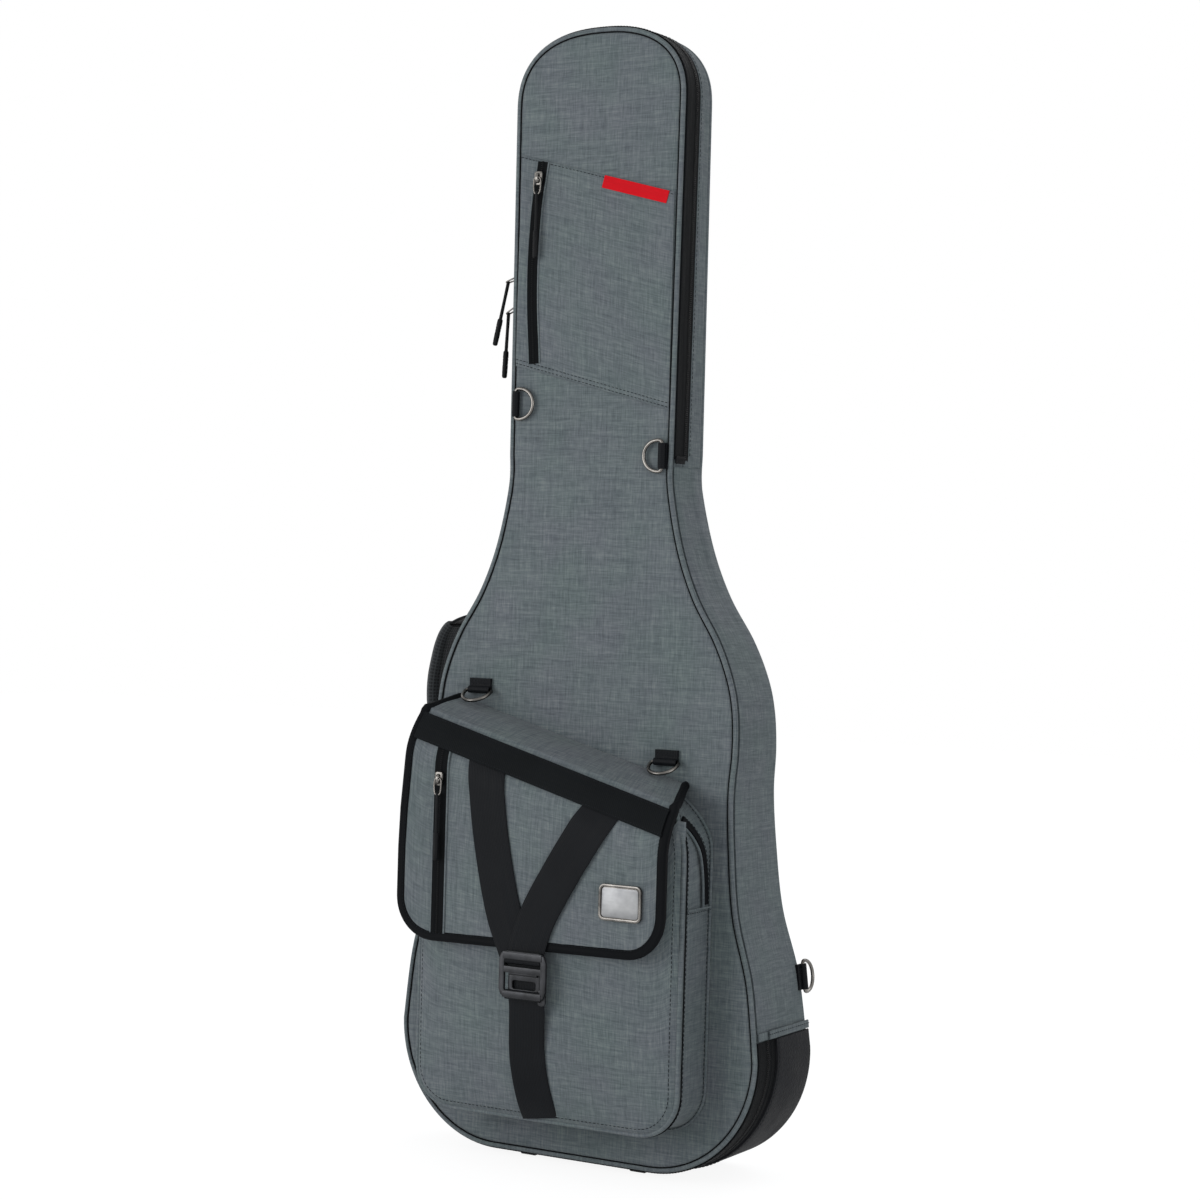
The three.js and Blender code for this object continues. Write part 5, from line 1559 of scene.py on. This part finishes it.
    def make(self) -> None:
        """Builds the flap."""
        straight = self.half - self.corner
        curve = straight + self.corner * np.sin(np.linspace(0, math.pi / 2, 15)[1:])
        right = np.concatenate([np.linspace(0, straight, 22), curve])
        right[-1] -= 0.02
        outer, inner = zip(*(self.section(float(x)) for x in np.concatenate([-right[:0:-1], right])))
        form = shell(np.array(outer), np.array(inner))
        self.shop.add("flap_cloth", form, Look.CANVAS, self.bend(), "flap_top", "flap_panel", fill=0.6)
        self.make_band()
        self.make_binding()
        self.make_zip()
        self.make_strap()
        self.make_buckle()
        self.make_badge()

    def make_band(self) -> None:
        """Builds the ribbed band under the fold."""
        xs = np.linspace(-self.half + 2, self.half - 2, 74)
        drops = np.linspace(4.5, 27, 16)
        outer, inner = (self.drawn(xs[:, None], drops, self.thick / 2 + out) for out in (2.2, 0.2))
        self.shop.add("flap_ribbed_band", shell(outer, inner), Look.RIBBED, "flap", "flap_band")
        rows = [BeadLine(self.drawn(xs, d, self.thick / 2 + 2.25), FRONT) for d in (6.0, 25.4)]
        self.shop.sew("flap_band_stitches", FINE_STITCH, rows, "flap", Slot.RIBBED_BAND)

    def edge_path(self, out: float) -> Array:
        """Returns: the flap's edge from the seam at the left over the fold, round and back to the seam."""
        half, radius = self.half + out, self.corner + out
        c, s = self.slope
        turn = np.linspace(0, math.pi / 2, 10)
        runs = []
        for side in (-1, 1):
            top = [self.fold(float(self.narrowed(side * half, -away))) + (0, away * c, away * s)
                   for away in np.linspace(57.0, 0, 12)]
            top[-1] += (0, -2.2, 0.6)
            deep = float(self.fold_z(side * half)) - self.low - self.corner - 8
            down = self.drawn(side * half, np.concatenate([np.linspace(5, 45, 9), np.linspace(56, deep, 4)]))
            x = side * (half - radius + radius * np.cos(turn))
            arc = self.drawn(x, self.fold_z(x) - (self.low - out + radius - radius * np.sin(turn)))
            runs.append(np.vstack([top, down, arc]))
        return resample(np.vstack([runs[0], runs[1][::-1]]), 3.2)

    def make_binding(self) -> None:
        """Builds the folded tape round the flap's edge, with its stitches."""
        path = self.edge_path(0.4)
        along = heading(path)
        inward = (np.array([0.0, 0.0, 300.0]) - path) * (1, 0, 1)
        side = unit(inward - np.sum(inward * along, axis=1, keepdims=True) * along)
        out = unit(np.cross(side, along))
        out = out * np.where(np.sum(out * np.array([0, -1, 0.6]), axis=1, keepdims=True) < 0, -1, 1)
        form = sweep(path, flat_section(9.5, 7.4, 3.0, 1), out)
        self.shop.add("flap_edge_binding", form, Look.BINDING, self.bend(), "flap_binding", crease=50)
        row = path + side * 3.2 + out * 3.72
        row = row[row[:, 1] < -self.reach - 6]
        facing = out[path[:, 1] < -self.reach - 6]
        count = min(len(row), len(facing))
        rows = [BeadLine(row[:count], facing[:count])]
        self.shop.sew("flap_binding_stitches", FINE_STITCH, rows, "flap", Slot.WEBBING)

    def make_zip(self) -> None:
        """Builds the flap's vertical zip."""
        drops = np.linspace(25, float(self.fold_z(self.zip_x)) - self.low - 3, 40)
        path = self.beside(self.zip_x, drops, self.thick / 2 + 0.6)
        self.shop.add("flap_zip_tape", sweep(path, flat_section(16, 1.0, 0.4, 2), FRONT), Look.TAPE, "flap", "flap_zip")
        self.shop.sew("flap_zip_teeth", TEETH, [BeadLine(path + FRONT * 0.6, FRONT)], "flap", Slot.ZIP_TAPE)
        self.shop.add("flap_zip_hems", twins(path, RIGHT * 7.4, round_section(0.9, 8, 0.8), FRONT), Look.CANVAS, "flap")

    def make_strap(self) -> None:
        """Builds the two arms of the V, and the loop at the buckle that the tail of both is sewn into."""
        bx, bz = self.buckle
        arms = (
            ("left", 0.5, ((-57, 394), (-54, 372), (-46, 314), (-29, 243), (bx - 11, 212), (bx - 6, 200)), ["v_strap"]),
            ("right", 2.0, ((76, 360), (65, 341), (32, 289), (6, 242), (bx + 1, 212), (bx, 196)), []),
        )
        for name, lift, stops, nodes in arms:
            path = smooth_line([(x, 0, z) for x, z in stops], 3.0)
            sunk = self.fold_z(path[:, 0]) - path[:, 2]
            free = np.clip((sunk - 33) / 14, 0, 1)
            pulled = np.clip((236 - path[:, 2]) / 34, 0, 1) ** 2
            path[:, 1] = self.middle(sunk) - self.thick / 2 - 0.55 - free * lift - pulled * 1.6
            facing = unit(points(self.pocket.slope * self.fall(sunk), -1.0, self.fall(sunk)))
            form = sweep(path, STRAP, facing)
            self.shop.add(f"flap_strap_{name}", form, Look.WEBBING, "flap", *nodes, crease=60)
        path = points(bx + np.linspace(-18.8, 18.8, 9), self.front - 5.6, bz + 14.5)
        self.shop.add("flap_strap_loop", sweep(path, flat_section(10, 6.4, 2.9, 1), FRONT), Look.WEBBING, "flap")

    def make_buckle(self) -> None:
        """Builds the buckle's frame, cross bars and inner edges."""
        bx, bz = self.buckle
        front, back = self.front - 8.6, self.front - 4.9
        frame = plate(rounded(50, 43, 8, 2, bx, bz), front, back, 0.8, rounded(38.5, 32, 3, 2, bx, bz - 0.5))
        across = bx + np.linspace(-20.5, 20.5, 7)
        bars = [sweep(points(across, (front + back) / 2 + push, bz + up), flat_section(tall, 3.2, 1.2, 1), FRONT)
                for up, tall, push in ((4.6, 6.4, 0.0), (17.6, 7.0, -0.9), (-18.0, 6.6, -0.7))]
        self.shop.add("buckle_frame", frame.joined(*bars), Look.GUNMETAL, "flap", "buckle")

    def make_badge(self) -> None:
        """Builds the plain badge: plate, raised rim and brushed field."""
        x, z = self.badge
        back = self.front - 0.2
        base = plate(rounded(44, 33, 5.5, 6, x, z), back - 2.0, back, 0.7)
        rim = plate(rounded(44, 33, 5.5, 6, x, z), back - 3.0, back - 1.6, 0.6, rounded(38.6, 27.6, 3.4, 6, x, z))
        self.shop.add("badge_rim", base.joined(rim), Look.NICKEL, "flap", "plain_badge", slot=Slot.BADGE_PLATE)
        inset = plate(rounded(37.6, 26.6, 3.0, 6, x, z), back - 2.5, back - 1.9, 0.3)
        self.shop.add("badge_field", inset, Look.STEEL, "flap")


@dataclass
class LowerStrap:
    """The strap from the buckle's hook down to the pocket's foot."""

    shop: Workshop
    pocket: FrontPocket
    flap: Flap

    def make(self) -> None:
        """Builds the strap, its hook and the sewn end."""
        x, z = self.flap.buckle[0], self.flap.buckle[1] - 7
        top = self.flap.front - 0.9
        knots = [(x, top, z + 4), (x, top + 0.4, z - 12), (x, top + 2.6, z - 22)]
        for px, pz in ((-7, 122.0), (-6, 105.0), (-4, 88.0), (-1, 70.0), (1, 56.5)):
            knots.append((px, float(self.pocket.edge_y(np.array([px]), np.array([pz]))[0]) - 1.5, pz))
        form = sweep(smooth_line(knots, 3.0), STRAP, FRONT)
        self.shop.add("lower_strap_web", form, Look.WEBBING, "lid", "lower_strap", crease=60)
        front = self.flap.front - 4.6
        body = plate(rounded(34, 20, 4, 3, x, z), front, front + 2.8, 0.7, rounded(25, 8, 2, 3, x, z - 2.5))
        ear = plate(rounded(8, 15, 3, 3, x + 19, z - 12), front - 0.2, front + 2.6, 0.8)
        tongue = sweep(points(x + np.linspace(-15, 15, 6), front - 0.6, z + 8.4), round_section(2.2, 10), FRONT)
        self.shop.add("strap_hook_plate", body.joined(ear, tongue), Look.GUNMETAL, "lid", "strap_hook")
        fold = points(x + np.linspace(-18.4, 18.4, 9), front - 1.0, z - 11.5)
        self.shop.add("lower_strap_fold", sweep(fold, flat_section(9, 5.6, 2.6, 1), FRONT), Look.WEBBING, "lid")


# --------------- rings, sliders, straps


def tilted(turn: float) -> Matrix:
    """Returns: the matrix that swings a fitting back about its bar."""
    return Matrix.Rotation(-turn, 4, "X")


@dataclass(frozen=True)
class Seat:
    """Where a fitting sits: its bar along x, its hanging part towards -z, the cloth behind it towards +y."""

    place: object
    bar: object = (1, 0, 0)
    behind: object = (0, 1, 0)
    up: object = (0, 0, 1)

    def matrix(self) -> Matrix:
        """Returns: the matrix that brings a fitting to its seat."""
        m = np.eye(4)
        m[:3, 0], m[:3, 1], m[:3, 2], m[:3, 3] = self.bar, self.behind, self.up, self.place
        return Matrix(m.tolist())


def lying(path: Array) -> Array:
    """Returns: facing directions that keep a strip's width along x."""
    return np.cross(heading(path), RIGHT)


@dataclass
class Hardware:
    """D-rings on webbing tabs, and zip sliders with their pulls."""

    shop: Workshop
    wire: float = 1.75
    half: float = 14.5
    drop: float = 19.0
    tab_width: float = 24.0
    tab_round: float = 2.85
    standoff: float = 3.9
    bar_height: float = 4.9
    side_ring: tuple = (184.894, 187.0)
    side_lean: float = -0.1306

    def make(self) -> None:
        """Builds all rings, tabs, sliders and pulls."""
        for name, side, z in (("neck_left", -1, 718.0), ("neck_right", 1, 669.0)):
            seat = Seat((side * (SHAPE.side_at(z) - 8.6), -self.standoff, z), (0, 0, -side), BACK, (side, 0, 0))
            self.make_ring(name, "lid", seat, 4.0)
        for name, x in (("flap_left", -112.0), ("flap_right", 93.0)):
            z = FrontPocket.seam - FrontPocket.slope * x + 16
            self.make_ring(name, "lid", Seat((x, -self.standoff, z)), 11.0, math.radians(58.83))
        x, z = self.side_ring
        for name, side in (("side_left", -1), ("side_right", 1)):
            out = np.array([side * math.cos(self.side_lean), 0, -math.sin(self.side_lean)])
            place = np.array([side * x, SHAPE.back(z) + 1, z]) + self.standoff * out
            self.make_ring(name, "shell", Seat(place, np.cross(out, BACK), -out, FRONT), 9.5)
        for name, z, rest in (("main_upper", 842.0, 13), ("main_lower", 814.0, 3)):
            x, out = SHAPE.wall(z, -1)
            seat = Seat((x - 1.3, 22.0, z), FRONT, -out, (out[2], 0, -out[0]))
            self.make_slider(name, seat, math.radians(rest), math.radians(58))
        self.make_slider("neck_pocket", Seat((-60.265, -3.6, 931.08)))
        self.make_slider("flap", Seat((Flap.zip_x, -80.8, 364.03)))

    def make_ring(self, name: str, body: str, seat: Seat, tail: float, tilt: float = 0.0) -> None:
        """Builds one D-ring, tilted at rest, and the tab with a tail that holds it on a body."""
        matrix = seat.matrix()
        turn = np.linspace(0, math.pi, 25)
        bow = points(self.half * np.cos(turn), 0, -3 - (self.drop - 3) * np.sin(turn) ** 0.9)
        corners = np.array([(-self.half + 0.5, 0, -1.0), (-self.half + 1.8, 0, 0)])
        bar = points(np.linspace(-11, 11, 7), 0, 0)
        loop = resample(np.vstack([bow, corners, bar, corners[::-1] * (-1, 1, 1)]), 1.6, True)
        wire = sweep(loop, round_section(self.wire), FRONT, True).placed(tilted(tilt), matrix)
        ring = f"{name}_ring"
        self.shop.add(f"{name}_wire", wire, Look.NICKEL, ring, ring, crease=60)
        r = self.tab_round
        turn = np.linspace(0, -math.pi * 1.66, 18)
        eye = points(0, r * np.cos(turn), r * np.sin(turn))
        path = np.vstack([(0, r, tail), (0, r, tail / 2), eye, (0, 1.5, max(3.4, tail * 0.35)), (0, 1.35, tail)])
        path = resample(path, 1.5)
        tab = sweep(path, flat_section(self.tab_width, 1.4, 0.5, 5), lying(path)).placed(matrix)
        self.shop.add(f"{name}_webbing", tab, Look.WEBBING, body, f"{name}_tab", crease=60)
        if tail > 10:
            w = self.tab_width / 2 - 2.6
            corners = ((-w, tail - 2), (w, tail - 2), (w, 6), (-w, 6), (-w, tail - 2), (w, 6))
            line = resample(np.array([(x, 0.5, z) for x, z in corners]), 1.5)
            rows = [BeadLine(line @ np.array(matrix)[:3, :3].T + seat.place, -np.array(seat.behind, float))]
            self.shop.sew(f"{name}_tab_stitches", FINE_STITCH, rows, body, Slot.WEBBING)

    def make_slider(self, name: str, seat: Seat, rest: float = 0.0, lift: float = 0.0) -> None:
        """Builds one slider, and its pull: cord and moulded end hanging from a wire loop that is lifted further."""
        matrix = seat.matrix()
        top = self.bar_height
        half = np.array([(1.6, 6.5), (3.4, 6.2), (4.5, 4.4), (4.2, 0), (3.3, -5.4), (2.4, -6.5)])
        base = plate(np.vstack([half[2::-1], half * (-1, 1), half[:2:-1]]), -3.5, -0.3)
        side = [(0, -3.0, 4.4), (0, -top - 0.4, 3.4), (0, -top - 1.45, 1.6)]
        path = resample(np.array(side + [(0, y, -z) for _, y, z in side[::-1]]), 1.2)
        bridge = sweep(path, flat_section(2.8, 1.1, 0.5), lying(path))
        slider, pull = f"{name}_slider", f"{name}_pull"
        self.shop.add(f"{slider}_body", base.joined(bridge).placed(matrix), Look.NICKEL, slider, slider, crease=38)
        half = [(3.0, 0, 0), (3.8, 0, -7), (2.2, 0, -14.4)]
        loop = smooth_line([(-3.0, 0, 0), *half, *((-x, 0, z) for x, _, z in half[::-1])], 1.0)
        bar = Matrix.Translation((0, -top, 0))
        raised = tilted(rest + lift)
        wire = sweep(loop[:-1], round_section(0.8, 10), FRONT, True).placed(bar @ raised, matrix)
        self.shop.add(f"{pull}_loop", wire, Look.NICKEL, pull, crease=60)
        eye = Vector((0, 0, 13.4))
        hang = bar @ Matrix.Translation(raised @ -eye) @ tilted(rest) @ Matrix.Translation(eye)
        outline = (
            (-12.6, 1.2), (-13.2, 1.7), (-30, 1.6), (-49.6, 1.7), (-50.0, 2.2), (-51, 2.6), (-56, 2.75), (-57, 2.5),
            (-58, 2.75), (-60, 2.5), (-61, 2.72), (-63, 2.48), (-64, 2.7), (-70, 2.6), (-74.5, 2.45), (-75.7, 1.8),
            (-76, 0.9),
        )
        rings = [points(*round_section(r, 14).T, z) for z, r in outline]
        self.shop.add(f"{pull}_cord", loft(rings).placed(hang, matrix), Look.MOULDED, pull, pull, crease=50)


@dataclass
class Carry:
    """Side handle and shoulder harness."""

    shop: Workshop
    handle_y: float = 55.0
    handle_width: float = 32.0

    def make(self) -> None:
        """Builds the handle and the harness."""
        self.make_handle()
        self.make_yoke()
        for side, name in ((-1, "left"), (1, "right")):
            self.make_strap(side, name)

    def beside(self, z: float, out: float, y: float = 0.0) -> Array:
        """Returns: a place beside the bag's left side, y off the handle's middle."""
        x, away = SHAPE.wall(z, -1)
        return np.array([x, self.handle_y + y, z]) + out * away

    def make_handle(self) -> None:
        """Builds the handle: webbing sewn down at both ends, with a padded grip."""
        far = -SHAPE.side_at(430) - 33
        stops = [self.beside(541, 2.1), self.beside(531, 2.1), self.beside(521, 2.5)]
        stops += [(far + dx, self.handle_y, z) for dx, z in ((17, 503), (2, 462), (0, 430), (4, 410), (20, 376))]
        stops += [self.beside(352, 2.5), self.beside(341, 2.1), self.beside(330, 2.1)]
        path = smooth_line(stops, 3.0)
        form = sweep(path, flat_section(self.handle_width, 2.8, 1.0, 6), np.cross(heading(path), BACK))
        self.shop.add("handle_strap", form, Look.WEBBING, "shell", "handle_webbing", crease=60)

        def section(share: float) -> Array:
            """Returns: the grip's section, fuller in the middle."""
            full = 0.62 + 0.38 * math.sin(math.pi * min(1, max(0, share))) ** 0.5
            return flat_section(38 * (0.9 + 0.1 * full), 13.0 * full, 6.4 * full, 6)

        grip = path[(path[:, 2] > 378) & (path[:, 2] < 506)]
        form = sweep(grip, section, np.cross(heading(grip), BACK))
        self.shop.add("handle_grip", form, Look.AIR_MESH, "shell", "handle_pad", crease=60, fill=0.85)
        rows = []
        for z0, z1 in ((538, 524), (349, 333)):
            lines = [np.array([self.beside(z, 3.6, y) for z in np.linspace(z0, z1, 8)]) for y in (-12.5, 12.5)]
            lines.append(resample(np.array([self.beside(z0, 3.6, -12.5), self.beside(z1, 3.6, 12.5)]), 3))
            rows += [BeadLine(line, -RIGHT) for line in lines]
        self.shop.sew("handle_stitches", STITCH, rows, "shell", Slot.WEBBING)

    def make_yoke(self) -> None:
        """Builds the sewn-on yoke that the pads hang from."""
        rows, t = np.linspace(0, 1, 14)[:, None], np.linspace(-1, 1, 27)
        z = 535 + 60 * rows
        edge = 1 - np.maximum(np.abs(t) ** 8, np.abs(rows * 2 - 1) ** 8)
        near = points((62 - 18 * rows) * t, SHAPE.back(z) + 0.45, z)
        form = shell(near + points(0.0, 1.0 + 2.0 * edge, 0.0), near)
        self.shop.add("harness_yoke", form, Look.CANVAS, "shell", "shoulder_yoke", fill=0.4)

    def behind(self, stops: Sequence[tuple], side: int, step: float) -> Array:
        """Returns: a smooth path behind the back from (x, z, distance) stops."""
        return smooth_line([(side * x, SHAPE.back(z) + out, z) for x, z, out in stops], step)

    def make_strap(self, side: int, name: str) -> None:
        """Builds one shoulder strap: pad, binding, adjuster and lower webbing."""
        stops = ((33, 571, 10.2), (37, 541, 10.8), (54, 485, 26), (76, 415, 34), (88, 345, 31), (84, 275, 18))
        path = self.behind(stops, side, 4.0)

        def section(share: float) -> Array:
            """Returns: the pad's section, thinner and rounded in at its ends."""
            full = 0.55 + 0.45 * math.sin(math.pi / 2 * min(1.0, min(share, 1 - share) / 0.05))
            return flat_section(58 * (0.86 + 0.14 * full), 11.4 * full, 5.2 * full, 10)

        form = sweep(path, section, BACK)
        nodes = f"shoulder_strap_{name}"
        self.shop.add(f"shoulder_pad_{name}", form, Look.AIR_MESH, "shell", nodes, crease=60, fill=0.7)
        across = unit(np.cross(heading(path), BACK))[3:-3]
        form = twins(path[3:-3], across * 28.6, round_section(1.7, 8, 2.2), BACK)
        self.shop.add(f"shoulder_pad_binding_{name}", form, Look.BINDING, "shell", crease=60)
        x, z = side * 84.0, 259.0
        y = SHAPE.back(z) + 12
        frame = plate(rounded(34, 24, 4, 4, x, z), y, y + 5, 0.9, rounded(26.5, 16, 2, 4, x, z))
        bars = [sweep(points(x + np.linspace(-14, 14, 5), y + push, z + up), flat_section(3.2, 3.2, 1.2), BACK)
                for up, push in ((2.6, 2.9), (-3.8, 2.1))]
        nodes = f"strap_adjuster_{name}"
        self.shop.add(f"ladder_buckle_{name}", frame.joined(*bars), Look.MOULDED, "shell", nodes)
        stops = ((84, 257, 10.95), (88, 237, 9), (98, 195, 5), (110, 155, 1.9), (118, 128, 1.25), (124, 108, 1.25))
        form = sweep(self.behind(stops, side, 3.0), flat_section(25, 1.4, 0.5, 5), BACK)
        self.shop.add(f"lower_webbing_{name}", form, Look.WEBBING, "shell", f"strap_webbing_{name}", crease=60)


@dataclass
class Inside:
    """Foam block at the foot and notched cradle for the neck."""

    shop: Workshop
    lining: float = 15.1

    def block(self, outline: Sequence[tuple[float, float]], low: float, high: float) -> Form:
        """Returns: a foam block of an [x, y] outline between two heights, with soft edges."""
        line = resample(np.array(outline, float), 5.0, True)
        middle = (line.min(axis=0) + line.max(axis=0)) / 2
        edge = ((0, 3), (0.9, 0.9), (3, 0))
        levels = [(low + up, inset) for up, inset in edge] + [((low + high) / 2, -0.3)]
        rings = []
        for z, inset in levels + [(high - down, inset) for down, inset in edge[::-1]]:
            moved = line - np.sign(line - middle) * inset * (np.abs(line - middle) > 6)
            rings.append(points(moved[:, 0], moved[:, 1], z))
        return loft(rings)

    def make(self) -> None:
        """Builds both blocks."""
        far = SHAPE.back(48) - self.lining
        form = self.block([(69.6, 30.4), (69.6, far), (-69.6, far), (-69.6, 30.4)], 20.6, 48.0)
        self.shop.add("foot_block", form, Look.PLUSH, "shell", "end_block", crease=60, fill=1.0)
        half = SHAPE.side_at(658) - 14.4
        far = SHAPE.back(718) - self.lining
        notch = [(31.6 * math.cos(a), 23.6 + (far - 30.0) * math.sin(a) ** 0.7) for a in np.linspace(math.pi, 0, 15)]
        form = self.block([(half, far), (-half, far), (-half, 23.6), *notch, (half, 23.6)], 658.4, 717.6)
        self.shop.add("cradle_block", form, Look.PLUSH, "shell", "neck_cradle", crease=60, fill=0.95)


# --------------- studio


@dataclass
class Studio:
    """Floor, lights and camera."""

    azimuth: float = 30.4
    elevation: float = 0.54
    roll: float = 1.62
    distance: float = 2.4466
    target: Triple = (0.00374, -0.01818, 0.54)
    lens: float = 78.285
    shift: tuple = (0.01237, -0.00545)

    def make(self) -> None:
        """Sets up the whole room."""
        bpy.context.scene.view_settings.view_transform = "Standard"
        self.make_camera()
        self.make_world()
        self.make_floor()
        self.make_lamp("key", (-1.6, -2.6, 0.95), 1.8, 42.0)
        self.make_lamp("fill", (2.6, -1.2, 0.8), 1.6, 15.0)
        self.make_lamp("rear", (0.4, 2.4, 2.2), 1.8, 24.0)

    def seen(self, graph: Graph) -> Wire:
        """Returns: 1 for rays of the camera, of gloss and of clear parts."""
        path = {output.source.name: output for output in graph.node("ShaderNodeLightPath")}
        return path["Is Camera Ray"].most(path["Is Glossy Ray"]).most(path["Is Transmission Ray"])

    def make_world(self) -> None:
        """Lights the room softly and shows it white."""
        world = bpy.data.worlds.new("room")
        bpy.context.scene.world = world
        graph = Graph(world)
        light = graph.node("ShaderNodeBackground", None, {"Color": (0.93, 0.96, 1.0, 1.0), "Strength": 0.62})[0]
        show = graph.node("ShaderNodeBackground", None, {"Color": WHITE, "Strength": 1.0})[0]
        graph.mixed(self.seen(graph), light, show, "ShaderNodeOutputWorld")

    def make_floor(self) -> None:
        """Lays a pale floor that keeps a soft shadow."""
        mesh = bpy.data.meshes.new("floor")
        side = 6.0
        mesh.from_pydata([(-side, -side, 0), (side, -side, 0), (side, side, 0), (-side, side, 0)], [], [(0, 1, 2, 3)])
        material = bpy.data.materials.new("pale_floor")
        graph = Graph(material)
        matt = graph.node("ShaderNodeBsdfDiffuse", None, {"Color": (0.86, 0.86, 0.86, 1.0)})[0]
        glow = graph.node("ShaderNodeEmission", None, {"Color": WHITE, "Strength": 1.13})[0]
        graph.mixed(self.seen(graph) * 0.8, matt, glow, "ShaderNodeOutputMaterial")
        mesh.materials.append(material)
        linked("floor", mesh)

    def make_lamp(self, name: str, place: Triple, size: float, power: float) -> None:
        """Hangs one soft lamp facing the bag."""
        lamp = bpy.data.lights.new(name, "AREA")
        lamp.size, lamp.energy = size, power
        holder = linked(name, lamp)
        holder.location = place
        holder.rotation_euler = (Vector(self.target) - Vector(place)).to_track_quat("-Z", "Y").to_euler()

    def make_camera(self) -> None:
        """Sets the camera."""
        a, e, r = (math.radians(v) for v in (self.azimuth, self.elevation, self.roll))
        back = np.array([math.sin(a) * math.cos(e), -math.cos(a) * math.cos(e), math.sin(e)])
        right = np.array([math.cos(a), math.sin(a), 0.0])
        up = np.cross(back, right)
        right, up = math.cos(r) * right + math.sin(r) * up, math.cos(r) * up - math.sin(r) * right
        lens = bpy.data.cameras.new("view")
        lens.lens, lens.sensor_width = self.lens, 36.0
        lens.shift_x, lens.shift_y = self.shift
        camera = linked("view", lens)
        camera.matrix_world = Seat(np.array(self.target) + back * self.distance, right, up, back).matrix()
        bpy.context.scene.camera = camera


def main() -> None:
    """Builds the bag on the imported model."""
    logging.basicConfig(level=logging.INFO, format="%(message)s")
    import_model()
    Place.settle()
    Studio().make()
    shop = Workshop()
    panels = Panels(shop)
    pocket = FrontPocket(shop)
    flap = Flap(shop, pocket)
    for part in (panels, Sides(shop), NeckPocket(shop, panels), pocket, flap, LowerStrap(shop, pocket, flap),
                 Hardware(shop), Carry(shop), Inside(shop)):
        part.make()
    log.info("%d pieces", shop.count)


if __name__ == "__main__":
    main()
